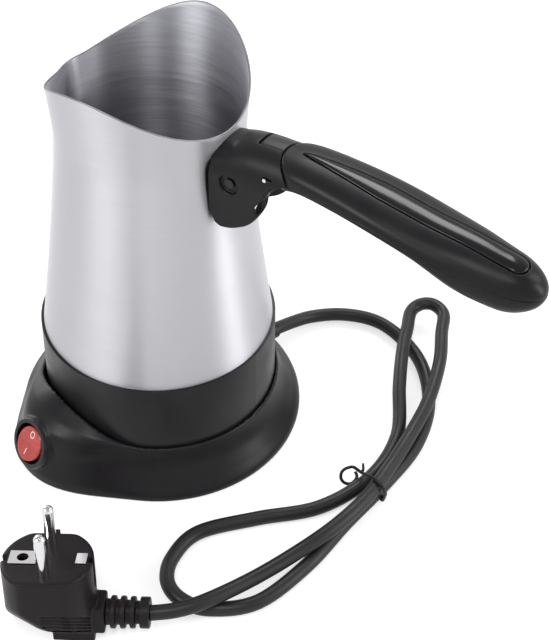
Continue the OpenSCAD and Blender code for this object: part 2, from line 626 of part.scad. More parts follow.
// Bosses carry the tang between the shells
module bosses(z0, z1) at_pivot() for (x = screw_x) translate([x, 0, z0])
    cylinder(r = boss_r, h = z1 - z0, $fn = 32);
module screw_holes(r, z0, z1) at_pivot() for (x = screw_x) translate([x, 0, z0])
    cylinder(r = r, h = z1 - z0, $fn = 24);
module handle_upper() color([0.13, 0.13, 0.14]) difference() {
    union() {
        difference() {
            grip_form(0);
            grip_form(grip_wall);
        }
        intersection() {
            grip_form(1);
            bosses(tang_low + tang_t, 30);
        }
    }
    difference() {
        translate([0, -big / 2, 0]) cube([big, big, big]);
        above_seam();
    }
    inlay_form(0.1, 0);
    screw_holes(grip_screw_r + press_gap, 0, tang_low + tang_t + 1.6);
}
module handle_lower() color([0.13, 0.13, 0.14]) difference() {
    union() {
        difference() {
            grip_form(0);
            grip_form(grip_wall);
        }
        intersection() {
            grip_form(1);
            bosses(-10, tang_low);
        }
    }
    above_seam();
    at_pivot() translate([17, -tang_half_w - slip_gap, -10])
        cube([14, 2 * (tang_half_w + slip_gap), 10 + tang_low]);
    screw_holes(grip_screw_r + slip_gap, -20, 20);
    screw_holes(2.6, -20, smooth(grip_low, screw_x[0]) + 1);
}
module handle_screws() color("silver") at_pivot() for (x = screw_x)
    translate([x, 0, smooth(grip_low, screw_x[0]) + 1]) {
        translate([0, 0, -1.4]) cylinder(r = 2.4, h = 1.4, $fn = 24);
        cylinder(r = grip_screw_r, h = tang_low + tang_t - smooth(grip_low, screw_x[0]), $fn = 24);
    }

// Glossy inlay, sunk in a groove along the grip's top
inlay_start = nose_out - nose_r + 7.8;
inlay_len = grip_len * 0.853;
inlay_deep = 1.3;
function inlay_half(s) = inlay_w / 2 * min(1, pow(s / 0.38, 0.72));
inlay_outline = let (n = 12, r = inlay_w / 2, x1 = inlay_start + inlay_len - r) concat(
    [for (i = [0 : n]) let (s = i / n) [inlay_start + (x1 - inlay_start) * s, inlay_half(s)]],
    arc(x1, 0, r, 80, -80, 8),
    [for (i = [n : -1 : 1]) let (s = i / n) [inlay_start + (x1 - inlay_start) * s, -inlay_half(s)]]);
module inlay_form(gap, low) difference() {
    intersection() {
        grip_form(0);
        at_pivot() linear_extrude(height = 40, center = true) offset(delta = gap)
            polygon(inlay_outline);
    }
    translate([0, 0, -inlay_deep + low]) grip_form_upper();
}
module grip_form_upper() at_pivot() skin([for (x = grip_stations(grip_at(-0.05), grip_end))
    grip_ring(x, 0, grip_end)]);
module handle_inlay() color([0.03, 0.03, 0.03]) intersection() {
    inlay_form(0, 0.05);
    above_seam();
}

// ---- mains lead and what holds it ----
gland_in = 47;
gland_out = 67.5;
module gland_form(gap) translate([0, 0, gland_in])
    cylinder(r1 = cord_r + 2 + gap, r2 = cord_r + 1 + gap, h = gland_out - gland_in, $fn = 48);
module cord_gland() color([0.12, 0.12, 0.12]) at_az(cord_az) translate([0, 0, cord_h])
    rotate([0, 90, 0]) gland_form(0);
clamp_out = 51;
clamp_t = 5;
clamp_screw_y = 8;
clamp_screw_r = 1.2;
module cord_clamp() color([0.25, 0.25, 0.25]) at_az(cord_az) difference() {
    translate([clamp_out - clamp_t / 2, -clamp_w / 2, cover_z]) cube([clamp_t, clamp_w, clamp_h]);
    translate([0, 0, cord_h]) rotate([0, 90, 0]) gland_form(press_gap);
    for (s = [-1, 1]) translate([clamp_out, s * clamp_screw_y, 0])
        cylinder(r = clamp_screw_r + press_gap, h = 40, $fn = 24);
}
module clamp_screws() color("silver") at_az(cord_az) for (s = [-1, 1])
    translate([clamp_out, s * clamp_screw_y, foot_h + 0.2]) {
        cylinder(r = clamp_screw_r, h = cover_t - 0.2 + clamp_h, $fn = 24);
        translate([0, 0, cover_t - 0.2 + clamp_h]) cylinder(r = 2.2, h = 1.2, $fn = 24);
    }
block_out = 30;
block_l = 10;
block_w = 24;
block_h = 11;
module terminal_block() color("ivory") at_az(cord_az)
    translate([block_out - block_l / 2, -block_w / 2, cover_z]) cube([block_l, block_w, block_h]);

// Wires: tangential places on the block, and the heights of the runs
lane = 7.5;
run_z = web_z + web_t + 2;
block_top = cover_z + block_h;
sink = 0.8;
function block_in(y) = polar(block_out + block_l / 2 - sink, cord_az, cord_h)
    + y * [-sin(cord_az), cos(cord_az), 0];
function gland_face(y) = polar(gland_in + sink, cord_az, cord_h)
    + y * [-sin(cord_az), cos(cord_az), 0];
function block_up(y) = polar(block_out, cord_az, block_top - sink)
    + y * [-sin(cord_az), cos(cord_az), 0];
function hole(az, y, z) = polar(wire_hole_out, az, z) + y * [-sin(az), cos(az), 0];
// A point in the switch's own axes, placed in the base
function at_switch_point(x, y, z) = let (t = 90 - switch_rise,
        r = switch_seat_r + x * cos(t) + z * sin(t), h = switch_seat_h - x * sin(t) + z * cos(t))
    [r * cos(switch_az) - y * sin(switch_az), r * sin(switch_az) + y * cos(switch_az), h];
terminal_end = -block_deep - terminal_len + sink;
module wires_live() color("saddlebrown") {
    wire([gland_face(-2.4), block_in(-lane)]);
    wire([block_up(-lane), block_up(-lane) + [0, 0, 4], polar(20, -20, 18), polar(38, -80, 12),
        at_switch_point(3.5, 1, terminal_end)]);
    wire([at_switch_point(-3.5, -1, terminal_end), hole(switch_az, -2, 20),
        hole(switch_az, -2, run_z), thermostat_at + polar(4, -60, run_z)]);
    wire([thermostat_at + polar(4, 120, run_z), polar(element_ring_d / 2, leg_az[1], run_z)]);
}
module wires_neutral() color("steelblue") {
    wire([gland_face(2.4), block_in(lane)]);
    wire([block_up(lane), hole(cord_az, 3, 20), hole(cord_az, 3, run_z + 0.6),
        fuse_at + [fuse_len / 2 * cos(14) - 0.4, fuse_len / 2 * sin(14), 0]]);
    wire([fuse_at - [fuse_len / 2 * cos(14) - 0.4, fuse_len / 2 * sin(14), 0],
        polar(22, 135, run_z + 1), polar(element_ring_d / 2, leg_az[0], run_z)]);
}
module wires_earth() color("yellowgreen") {
    wire([gland_face(0), block_in(0)]);
    wire([block_up(0), hole(cord_az, -2.5, 22), hole(cord_az, -2.5, run_z),
        [earth_at[0], earth_at[1], run_z]]);
}

// The lead's route over the floor: out of the base, through the tie, round the lower loop,
// through the tie again, round the upper loop, over both and on to the plug
cord_route = [[24.2, 63, 9], [31.5, 85, 4.1], [47, 98.5, 3.3], [67, 102, 3.3], [92.5, 90.5, 3.3],
    [111, 67.5, 3.3], [119.5, 39.5, 3.3], [119, 10, 3.3], [116, -19, 3.3], [114, -48.5, 3.3],
    [107, -76.5, 3.3], [92, -91, 3.3], [79, -94, 3.3], [68.5, -89.5, 3.3], [63, -78, 3.3],
    [64.5, -60.5, 3.3], [81.5, -39.5, 3.3], [101.5, -18, 3.3], [111.5, 9.5, 3.3], [109.5, 38.5, 4],
    [96, 64, 7.9], [89, 78, 9.7], [83.5, 90.5, 11], [80, 100, 10.4], [75, 113, 9.2],
    [77, 120, 10.2], [83, 122.5, 11], [90.5, 119, 10.8], [96, 107, 10.9], [105.5, 87, 11.2],
    [113, 62, 10.5], [116.5, 39.5, 10.7], [118.5, 16.5, 10.5], [119, -6.5, 10.9],
    [115.5, -29, 10.5], [108, -50.5, 8.3], [100, -72, 8.4], [91, -93, 10.3], [83.5, -103.2, 10],
    [75.2, -110.3, 9.7]];
cord_path = curve(cord_route, 2);
module cord() color([0.13, 0.13, 0.13]) skin(tube_rings(
    concat([polar(gland_out, cord_az, cord_h)], [for (i = [1 : len(cord_path) - 1]) cord_path[i]]),
    cord_r, 10));

// The twist tie: a small ring at one end, and a band round the strands
tie_route = [[104.6, 7.9, 4.9], [106.2, 6.9, 3.6], [106.3, 4.9, 2.3], [105.2, 2.7, 1.6],
    [103, 1.5, 2], [101, 1.5, 3.5], [100.1, 2.8, 5.5], [100.6, 4.4, 7], [102, 5.8, 7.9],
    [104, 7.2, 8.2], [109.3, 5.4, 9.6], [115.6, 2.6, 13.6], [120, 0.8, 15.1], [123.5, 0.4, 12.9],
    [124.1, 1.6, 8.6], [123.1, 2.9, 4.2], [121.9, 3.4, 0.9]];
tie_r = 0.8;
module cord_tie() color([0.12, 0.12, 0.12]) skin(tube_rings(curve(tie_route, 2), tie_r, 8));

// ---- plug: local X towards the lead, Z along the pins, origin in the face ----
plug_at = [35.9, -126.2, 35.9];
plug_turn = [-13, -2, 31];
module at_plug() translate(plug_at) rotate(plug_turn) children();
plug_r = plug_d / 2;
plug_flat = 16.8;
plug_slope_az = 236.6;
neck_at = 18;
neck_l = 4.6;
neck_half_w = 6.9;
neck_half_h = 6.4;
relief_deep = 28.4;
relief_at = neck_at + neck_l;
relief_len = 18.4;
module plug_body() color([0.2, 0.19, 0.2]) difference() {
    intersection() {
        at_plug() difference() {
            union() {
                intersection() {
                    translate([0, 0, -42]) cylinder(r = plug_r, h = 42);
                    translate([-30, -plug_flat, -50]) cube([60, 2 * plug_flat, 60]);
                    rotate([0, 0, plug_slope_az]) rotate([90, 0, 0])
                        linear_extrude(height = 60, center = true)
                            polygon([[-30, 0], [22, 0], [22, -13.8], [3.3, -40], [-30, -40]]);
                    rotate([90, 0, 90]) linear_extrude(height = 60, center = true)
                        polygon([[-20, 0], [20, 0], [20, -40], [0, -40], [-20, -22.3]]);
                }
                translate([0.5, -7, -39]) cube([17.6, 12, 8]);
                translate([0, -neck_half_w, -relief_deep - neck_half_h])
                    cube([neck_at + neck_l, 2 * neck_half_w, 2 * neck_half_h]);
            }
            translate([-10, 0, -12]) cylinder(r = 2.4, h = 20, $fn = 48);
            translate([-19.5, -1.8, -14]) cube([3, 3.6, 20]);
            translate([16.5, -1.8, -14]) cube([3, 3.6, 20]);
            for (s = [-1, 1]) translate([0, s * pin_pitch / 2, -6])
                cylinder(r = pin_d / 2 + press_gap, h = 20, $fn = 48);
            contact_plates(press_gap);
        }
        translate([-big, -big, 0]) cube([2 * big, 2 * big, big]);
    }
}
module contact_plates(gap) {
    difference() {
        translate([-15.6 - gap, -4 - gap, -0.8 - gap]) cube([11.4 + 2 * gap, 8 + 2 * gap, 3]);
        if (gap == 0) translate([-20, -10, 0]) cube([40, 20, 10]);
    }
    translate([12 - gap, -3.2 - gap, -0.8 - gap])
        cube([4.4 + 2 * gap, 6.4 + 2 * gap, gap > 0 ? 3 : 0.8]);
}
module plug_earth_contacts() color("silver") at_plug() difference() {
    contact_plates(0);
    translate([-10, 0, -12]) cylinder(r = 2.4, h = 20, $fn = 48);
}
module plug_pins() color("silver") at_plug() for (s = [-1, 1])
    translate([0, s * pin_pitch / 2, 0]) rotate_extrude($fn = 48)
        polygon(concat([[0, -6], [pin_d / 2, -6]],
            arc(0, pin_len - pin_d / 2, pin_d / 2, 0, 75, 5),
            [[0, pin_len - pin_d / 2 * (1 - sin(75))]]));
relief_ribs = 4;
module plug_relief() color([0.2, 0.19, 0.2]) at_plug() translate([relief_at, 0, -relief_deep])
    rotate([0, 90, 0]) union() {
        cylinder(r1 = 5.6, r2 = 4.6, h = relief_len, $fn = 48);
        for (i = [0 : relief_ribs - 1]) translate([0, 0, 2 + 4.1 * i])
            cylinder(r = 6.9 - 0.1 * i, h = i == relief_ribs - 1 ? 4.1 : 2.2, $fn = 48);
    }

jug();
jug_seal();
heater_plate();
heating_element();
thermostat();
thermal_fuse();
fuse_clip();
earth_tab();
centre_stud();
stud_nut();
collar();
skirt();
bottom_cover();
foot_ring();
lobe_foot();
base_screws();
switch_housing();
switch_terminals();
rocker();
handle_bracket();
bracket_studs();
bracket_nuts();
pivot_pin();
leaf_springs();
latch_pin();
latch_button();
latch_spring();
handle_core();
handle_upper();
handle_lower();
handle_inlay();
handle_screws();
cord_gland();
cord_clamp();
clamp_screws();
terminal_block();
wires_live();
wires_neutral();
wires_earth();
cord();
cord_tie();
plug_body();
plug_pins();
plug_earth_contacts();
plug_relief();
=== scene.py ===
import math
import bpy
import numpy as np
from mathutils import Matrix, Vector


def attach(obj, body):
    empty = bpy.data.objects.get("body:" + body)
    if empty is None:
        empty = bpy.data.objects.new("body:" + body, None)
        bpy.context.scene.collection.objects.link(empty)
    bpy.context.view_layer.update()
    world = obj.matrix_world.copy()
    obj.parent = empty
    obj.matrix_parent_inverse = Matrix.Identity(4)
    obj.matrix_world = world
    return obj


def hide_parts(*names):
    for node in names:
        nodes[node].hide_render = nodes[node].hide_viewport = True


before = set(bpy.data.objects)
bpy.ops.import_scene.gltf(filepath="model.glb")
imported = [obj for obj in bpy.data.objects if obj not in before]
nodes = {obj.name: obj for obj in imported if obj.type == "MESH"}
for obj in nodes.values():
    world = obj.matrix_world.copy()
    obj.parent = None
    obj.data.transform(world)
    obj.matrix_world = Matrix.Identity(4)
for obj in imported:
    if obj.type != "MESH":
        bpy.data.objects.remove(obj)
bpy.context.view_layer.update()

MM = 0.001

# ---- camera: its axes and place, fitted to the photo's 550 x 640 frame ----
right = Vector((0.83684059, 0.5470123, 0.02180291))
up = Vector((-0.38991986, 0.56761311, 0.72510542))
ahead = Vector((-0.38426597, 0.61529903, -0.68829265))
eye = Vector((0.298905, -0.377179, 0.507463))
LENS_MM, SENSOR_MM, NEAR_M = 79.93, 36, 0.02
camera_data = bpy.data.cameras.new("camera")
camera_data.lens = LENS_MM
camera_data.sensor_width = SENSOR_MM
camera_data.clip_start = NEAR_M
camera = bpy.data.objects.new("camera", camera_data)
turn = Matrix((right, up, -ahead)).transposed().to_4x4()
camera.matrix_world = Matrix.Translation(eye) @ turn
bpy.context.scene.collection.objects.link(camera)
bpy.context.scene.camera = camera
bpy.context.scene.view_settings.view_transform = "Standard"


# ---- materials ----
class Tree:
    """A material's nodes, with short calls to add and join them."""

    def __init__(self, name):
        self.material = bpy.data.materials.new(name)
        self.material.use_nodes = True
        self.tree = self.material.node_tree
        self.shader = self.tree.nodes["Principled BSDF"]
        self.place = self.tree.nodes.new("ShaderNodeTexCoord").outputs["Object"]

    def add(self, kind, inputs=None, **settings):
        node = self.tree.nodes.new("ShaderNode" + kind)
        for key, value in settings.items():
            setattr(node, key, value)
        for key, value in (inputs or {}).items():
            if isinstance(value, bpy.types.NodeSocket):
                self.tree.links.new(value, node.inputs[key])
            else:
                node.inputs[key].default_value = value
        return node

    def set(self, **values):
        for key, value in values.items():
            socket = self.shader.inputs[key.replace("_", " ")]
            if isinstance(value, bpy.types.NodeSocket):
                self.tree.links.new(value, socket)
            else:
                socket.default_value = value

    def noise(self, scale, detail=3.0, stretch=(1, 1, 1), rough=0.5):
        mapped = self.add("Mapping", {"Vector": self.place, "Scale": stretch})
        return self.add("TexNoise", {"Vector": mapped.outputs["Vector"], "Scale": scale,
                                     "Detail": detail, "Roughness": rough}).outputs["Fac"]

    def span(self, value, low, high, lo_in=0.3, hi_in=0.7):
        return self.add("MapRange", {"Value": value, "From Min": lo_in, "From Max": hi_in,
                                     "To Min": low, "To Max": high}).outputs["Result"]

    def blend(self, share, one, two):
        node = self.add("Mix", data_type="RGBA")
        for key, value in (("Factor_Float", share), ("A_Color", one), ("B_Color", two)):
            socket = next(s for s in node.inputs if s.identifier == key)
            if isinstance(value, bpy.types.NodeSocket):
                self.tree.links.new(value, socket)
            else:
                socket.default_value = value
        return next(s for s in node.outputs if s.identifier == "Result_Color")

    def bump(self, height, strength, distance, under=None):
        inputs = {"Height": height, "Strength": strength, "Distance": distance}
        if under is not None:
            inputs["Normal"] = under
        return self.add("Bump", inputs).outputs["Normal"]


def colour(r, g, b):
    return (r, g, b, 1.0)


def shade(c, k):
    return colour(*(min(1.0, v * k) for v in c[:3]))


def plastic(name, base, rough, grain=0.25, grain_scale=1800, coat=0.0, spread=0.06, gloss=0.5):
    """Moulded plastic or rubber: a fine spark texture, soft blotches in tone and in gloss."""
    handled, worn = 0.9, 1.12
    grain_deep, blotch_deep = 0.00012, 0.0008
    t = Tree(name)
    blotch = t.noise(38, 4)
    fine = t.noise(grain_scale, 2)
    t.set(Base_Color=t.blend(t.span(blotch, 0, 1), shade(base, handled), shade(base, worn)),
          Roughness=t.span(t.noise(70, 3), rough - spread, rough + spread),
          Specular_IOR_Level=gloss,
          Normal=t.bump(fine, grain, grain_deep, t.bump(blotch, 0.05, blotch_deep)))
    if coat:
        t.set(Coat_Weight=coat, Coat_Roughness=0.06)
    return t.material


def metal(name, base, rough, stretch=(1, 1, 1), scale=900, strength=0.12, spread=0.05):
    """Turned, drawn or plated metal: fine lines in its gloss, and a cloudy change in tone."""
    line_deep = 0.00005
    t = Tree(name)
    lines = t.noise(scale, 3, stretch)
    cloud = t.noise(45, 4)
    t.set(Metallic=1.0, Base_Color=t.blend(t.span(cloud, 0, 1), shade(base, 0.93), base),
          Roughness=t.span(lines, rough - spread, rough + spread),
          Normal=t.bump(lines, strength, line_deep))
    return t.material


def steel(name, base, rough, lines_share, strength, aniso, painted_shade_share=1.0):
    """Steel brushed round the jug: lines that run level, so that light smears up and down.
    Low in the jug its tone is scaled down to a given share of the tone at the rim: painted shade,
    darker towards the bottom, for the dark that the inside reflects there."""
    shade_full_below, shade_none_above = 0.145, 0.205
    line_deep = 0.00004
    t = Tree(name)
    fine = t.noise(1, 4, (55, 55, 2600), 0.6)
    coarse = t.noise(1, 3, (30, 30, 700), 0.6)
    both = t.add("Math", {0: fine, 1: coarse}, operation="ADD").outputs[0]
    lines = t.add("Math", {0: both, 1: 0.5}, operation="MULTIPLY").outputs[0]
    cloud = t.noise(22, 4, (1, 1, 0.5))
    tone = t.blend(t.span(lines, 0, 1, 0.35, 0.65), shade(base, 1 - lines_share), base)
    tone = t.blend(t.span(cloud, 0, 0.5), tone, shade(base, 0.92))
    # Painted shade: the tone darkens from the rim downwards, to the given share low in the jug.
    if painted_shade_share < 1:
        height = t.add("SeparateXYZ", {0: t.place}).outputs[2]
        share = t.span(height, painted_shade_share, 1.0, shade_full_below, shade_none_above)
        tone = t.add("VectorMath", {0: tone, "Scale": share}, operation="SCALE").outputs[0]
    t.set(Metallic=1.0, Base_Color=tone,
          Roughness=t.span(lines, rough - 0.05, rough + 0.07),
          Anisotropic=aniso, Anisotropic_Rotation=0.25,
          Tangent=t.add("Tangent", direction_type="RADIAL", axis="Z").outputs[0],
          Normal=t.bump(lines, strength, line_deep))
    return t.material


steel_out = steel("steel_outside", colour(0.62, 0.615, 0.64), 0.42, 0.07, 0.16, 0.85)
# The inside's tone carries painted shade, darker towards the bottom.
steel_in = steel("steel_inside_painted_shade", colour(0.66, 0.66, 0.71), 0.46, 0.3, 0.6, 0.93, painted_shade_share=0.62)
steel_rim = steel("steel_rim", colour(0.24, 0.24, 0.26), 0.5, 0.1, 0.2, 0.3)
base_black = plastic("base_plastic", colour(0.0085, 0.0075, 0.0085), 0.36, gloss=0.22)
collar_black = plastic("collar_plastic", colour(0.0095, 0.0085, 0.0095), 0.34, gloss=0.24)
handle_black = plastic("handle_plastic", colour(0.0085, 0.0075, 0.0083), 0.34, 0.2, 1500,
                       gloss=0.19)
inlay_black = plastic("inlay_gloss", colour(0.006, 0.0055, 0.006), 0.16, 0.02, 900, coat=0.1,
                      spread=0.02, gloss=0.25)
latch_black = plastic("latch_plastic", colour(0.011, 0.0098, 0.0108), 0.36, 0.2, 1500, gloss=0.3)
switch_black = plastic("switch_plastic", colour(0.004, 0.004, 0.004), 0.34, gloss=0.35)
cable_black = plastic("cable_sheath", colour(0.013, 0.012, 0.013), 0.40, 0.3, 1400, gloss=0.3)
tie_black = plastic("tie_plastic", colour(0.004, 0.004, 0.004), 0.38, 0.2, 1600, gloss=0.3)
plug_black = plastic("plug_plastic", colour(0.012, 0.0095, 0.0108), 0.38, 0.3, 1500, gloss=0.14)
foot_black = plastic("foot_rubber", colour(0.010, 0.010, 0.010), 0.75, 0.4, 900, gloss=0.3)
print_white = plastic("switch_print", colour(0.85, 0.62, 0.58), 0.5, 0.05)
core_black = plastic("core_plastic", colour(0.014, 0.013, 0.014), 0.5, 0.3, 1200, gloss=0.3)
ceramic = plastic("ceramic", colour(0.80, 0.76, 0.68), 0.55, 0.3, 700)
fuse_tan = plastic("fuse_sleeve", colour(0.55, 0.40, 0.26), 0.5, 0.3, 900)
silicone = plastic("silicone", colour(0.40, 0.09, 0.06), 0.55, 0.2, 700)
wire_brown = plastic("wire_brown", colour(0.16, 0.06, 0.02), 0.42, 0.15, 900)
wire_blue = plastic("wire_blue", colour(0.03, 0.12, 0.45), 0.42, 0.15, 900)
nickel = metal("nickel", colour(0.80, 0.79, 0.80), 0.13, (1, 1, 1), 700, 0.05, 0.03)
zinc = metal("zinc_steel", colour(0.62, 0.63, 0.65), 0.30)
spring_steel = metal("spring_steel", colour(0.82, 0.82, 0.84), 0.18)
aluminium = metal("aluminium", colour(0.76, 0.76, 0.77), 0.38, (1, 1, 0.2), 600, 0.2)
element_metal = metal("element_sheath", colour(0.30, 0.28, 0.27), 0.55, (1, 1, 1), 500, 0.3)
brass = metal("brass", colour(0.78, 0.57, 0.25), 0.28)


def red_plastic():
    """Clear red switch plastic: cloudy between a deeper and a lighter red."""
    t = Tree("rocker_red")
    deep, light = colour(0.32, 0.016, 0.011), colour(0.42, 0.032, 0.024)
    t.set(Base_Color=t.blend(t.span(t.noise(150, 3), 0, 1), deep, light),
          Roughness=t.span(t.noise(400, 2), 0.2, 0.32), Coat_Weight=0.4, Coat_Roughness=0.12,
          Subsurface_Weight=0.35, Subsurface_Scale=0.002,
          Subsurface_Radius=(1.0, 0.15, 0.1),
          Normal=t.bump(t.noise(900, 2), 0.06, 0.0001))
    return t.material


def striped_wire():
    """Earth wire: green with yellow stripes."""
    green, yellow = colour(0.12, 0.36, 0.04), colour(0.72, 0.62, 0.03)
    t = Tree("wire_earth")
    turned = t.add("TexWave", {"Vector": t.place, "Scale": 260.0, "Distortion": 1.5,
                               "Detail": 1.0}, bands_direction="DIAGONAL").outputs["Fac"]
    t.set(Base_Color=t.blend(t.span(turned, 0, 1, 0.45, 0.55), green, yellow),
          Roughness=t.span(t.noise(90, 2), 0.38, 0.5),
          Normal=t.bump(t.noise(900, 2), 0.15, 0.0001))
    return t.material


rocker_red = red_plastic()
wire_earth = striped_wire()


# ---- making pieces ----
def sized(points):
    return [tuple(float(v) * MM for v in p) for p in points]


def piece(name, points, faces, body, slot, materials, stands_for=(), sharp=180, which=None):
    """A mesh piece, points in millimetres, that rides on a body and stands for CAD nodes."""
    mesh = bpy.data.meshes.new(name)
    mesh.from_pydata(sized(points), [], [list(map(int, f)) for f in faces])
    mesh.update()
    for m in materials:
        mesh.materials.append(m)
    mesh.polygons.foreach_set("use_smooth", [True] * len(mesh.polygons))
    if which is not None:
        mesh.polygons.foreach_set("material_index", list(map(int, which)))
    if sharp < 180:
        mesh.set_sharp_from_angle(angle=math.radians(sharp))
    obj = bpy.data.objects.new(name, mesh)
    bpy.context.scene.collection.objects.link(obj)
    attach(obj, body)
    if stands_for:
        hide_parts(*stands_for)
    return obj


def rings(rows, caps=True):
    """Points and faces of a skin over closed rows of equally many points."""
    m, n = len(rows), len(rows[0])
    points = [p for row in rows for p in row]
    faces = [(i * n + j, i * n + (j + 1) % n, (i + 1) * n + (j + 1) % n, (i + 1) * n + j)
             for i in range(m - 1) for j in range(n)]
    if caps:
        faces.append(tuple(range(n))[::-1])
        faces.append(tuple((m - 1) * n + j for j in range(n)))
    return points, faces


def lathe(profile, sides=128):
    """Rows of points about the Z axis."""
    angles = [2 * math.pi * j / sides for j in range(sides)]
    return [[(r * math.cos(a), r * math.sin(a), z) for a in angles] for r, z in profile]


def rounded(profile, radius, steps=4):
    """An open profile with its inner corners rounded."""
    out = [profile[0]]
    for a, b, c in zip(profile, profile[1:], profile[2:]):
        a, b, c = (np.array(p, float) for p in (a, b, c))
        la, lc = np.linalg.norm(a - b), np.linalg.norm(c - b)
        cut = min(radius, 0.45 * min(la, lc))
        p, q = b + (a - b) / la * cut, b + (c - b) / lc * cut
        out += [tuple((1 - t) ** 2 * p + 2 * t * (1 - t) * b + t * t * q)
                for t in np.linspace(0, 1, steps + 1)]
    return out + [profile[-1]]


def hermite(table, x):
    """A smooth curve through a table of (place, value) pairs."""
    px = np.array([p[0] for p in table], float)
    pv = np.array([p[1] for p in table], float)
    s = np.empty_like(px)
    s[1:-1] = (pv[2:] - pv[:-2]) / (px[2:] - px[:-2])
    s[0] = (pv[1] - pv[0]) / (px[1] - px[0])
    s[-1] = (pv[-1] - pv[-2]) / (px[-1] - px[-2])
    x = np.asarray(x, float)
    i = np.clip(np.searchsorted(px, x, "right") - 1, 0, len(px) - 2)
    h = px[i + 1] - px[i]
    u = np.clip((x - px[i]) / h, 0, 1)
    return (pv[i] * (2 * u ** 3 - 3 * u ** 2 + 1) + pv[i + 1] * (3 * u ** 2 - 2 * u ** 3)
            + h * s[i] * (u ** 3 - 2 * u ** 2 + u) + h * s[i + 1] * (u ** 3 - u ** 2))


def flow(points, n):
    """A Catmull-Rom curve through points, n steps to each."""
    p = np.array(points, float)
    out = []
    for i in range(len(p) - 1):
        a, b, c, d = (p[min(max(i + k, 0), len(p) - 1)] for k in (-1, 0, 1, 2))
        for t in np.arange(n) / n:
            out.append(0.5 * (2 * b + t * (c - a) + t * t * (2 * a - 5 * b + 4 * c - d)
                              + t ** 3 * (3 * b - a - 3 * c + d)))
    return np.array(out + [p[-1]])


def tube(path, radius, sides):
    """Rings of a round tube along a path, carried along without twist."""
    path = np.asarray(path, float)
    n = len(path)
    radius = np.broadcast_to(np.asarray(radius, float), (n,))
    ahead_ = np.gradient(path, axis=0)
    ahead_ /= np.linalg.norm(ahead_, axis=1)[:, None]
    side = np.cross((0.0, 0.0, 1.0), ahead_[0])
    if np.linalg.norm(side) < 0.1:
        side = np.array((1.0, 0.0, 0.0))
    rows = []
    for p, d, r in zip(path, ahead_, radius):
        side = side - d * (side @ d)
        side /= np.linalg.norm(side)
        other = np.cross(d, side)
        rows.append([tuple(p + r * (math.cos(a) * side + math.sin(a) * other))
                     for a in np.linspace(0, 2 * math.pi, sides, endpoint=False)])
    return rows


# Solid forms as distance fields: below zero inside, in millimetres
def smin(a, b, k):
    """The smaller of two, blended over a width of k."""
    h = np.maximum(k - np.abs(a - b), 0) / k
    return np.minimum(a, b) - h * h * k / 4


def smax(a, b, k):
    return -smin(-a, -b, k)


def polygon(points, u, v):
    """Signed distance to a polygon in a plane."""
    p = np.array(points, float)
    q = np.roll(p, -1, axis=0)
    u, v = np.broadcast_arrays(u, v)
    best = np.full(u.shape, np.inf)
    inside = np.zeros(u.shape, bool)
    for (ax, ay), (bx, by) in zip(p, q):
        ex, ey = bx - ax, by - ay
        t = np.clip(((u - ax) * ex + (v - ay) * ey) / (ex * ex + ey * ey), 0, 1)
        best = np.minimum(best, (u - ax - t * ex) ** 2 + (v - ay - t * ey) ** 2)
        if ay != by:
            inside ^= ((ay > v) != (by > v)) & (u < ex * (v - ay) / ey + ax)
    return np.where(inside, -1, 1) * np.sqrt(best)


def block(x, y, z, low, high, round_by=0.0):
    """Signed distance to a box, with its edges rounded."""
    q = [np.abs(v - (a + b) / 2) - (b - a) / 2 + round_by for v, a, b in zip((x, y, z), low, high)]
    out = np.sqrt(sum(np.maximum(v, 0) ** 2 for v in q))
    return out + np.minimum(np.maximum(np.maximum(q[0], q[1]), q[2]), 0) - round_by


def field_mesh(field, low, high, step, settle=3):
    """Surface net over a field, its points then settled on the surface."""
    axes = [np.arange(a, b + step, step) for a, b in zip(low, high)]
    grid = [axes[0][:, None, None], axes[1][None, :, None], axes[2][None, None, :]]
    shape = tuple(len(a) for a in axes)
    f = np.broadcast_to(field(*grid), shape)
    cells = tuple(n - 1 for n in shape)
    total, count = np.zeros(cells + (3,)), np.zeros(cells)
    quads = []
    for axis in range(3):
        a = f[tuple(slice(0, -1) if k == axis else slice(None) for k in range(3))]
        b = f[tuple(slice(1, None) if k == axis else slice(None) for k in range(3))]
        cross = (a < 0) != (b < 0)
        share = np.where(cross, a / np.where(cross, a - b, 1), 0)
        o1, o2 = [k for k in range(3) if k != axis]
        for d1 in (0, 1):
            for d2 in (0, 1):
                cut = [slice(None)] * 3
                cut[o1] = slice(d1, d1 + cells[o1])
                cut[o2] = slice(d2, d2 + cells[o2])
                c = cross[tuple(cut)]
                count += c
                total[..., axis] += share[tuple(cut)]
                total[..., o1] += c * d1
                total[..., o2] += c * d2
        at = np.argwhere(cross)
        keep = (at[:, o1] > 0) & (at[:, o2] > 0) & (at[:, o1] < cells[o1]) & (at[:, o2] < cells[o2])
        at = at[keep]
        corner = []
        for d1, d2 in ((1, 1), (0, 1), (0, 0), (1, 0)):
            c = at.copy()
            c[:, o1] -= d1
            c[:, o2] -= d2
            corner.append(c)
        q = np.stack(corner, 1)
        flip = (a[tuple(at.T)] < 0) != (axis == 1)
        q[~flip] = q[~flip][:, ::-1]
        quads.append(q)
    used = count > 0
    number = np.full(cells, -1)
    number[used] = np.arange(used.sum())
    where = np.argwhere(used)
    p = (where + total[used] / count[used][:, None]) * step + np.array([a[0] for a in axes])
    quads = np.concatenate(quads)
    faces = number[quads[..., 0], quads[..., 1], quads[..., 2]]
    e = 0.02  # half the span over which a slope is measured
    for _ in range(settle):
        x, y, z = p.T
        value = field(x, y, z)
        grad = np.stack([(field(x + e, y, z) - field(x - e, y, z)),
                         (field(x, y + e, z) - field(x, y - e, z)),
                         (field(x, y, z + e) - field(x, y, z - e))], -1) / (2 * e)
        size = np.maximum((grad ** 2).sum(1), 0.05)
        move = value[:, None] * grad / size[:, None]
        far = np.linalg.norm(move, axis=1, keepdims=True)
        p = p - move * np.minimum(1, 0.5 * step / np.maximum(far, 1e-9))
    return p, faces


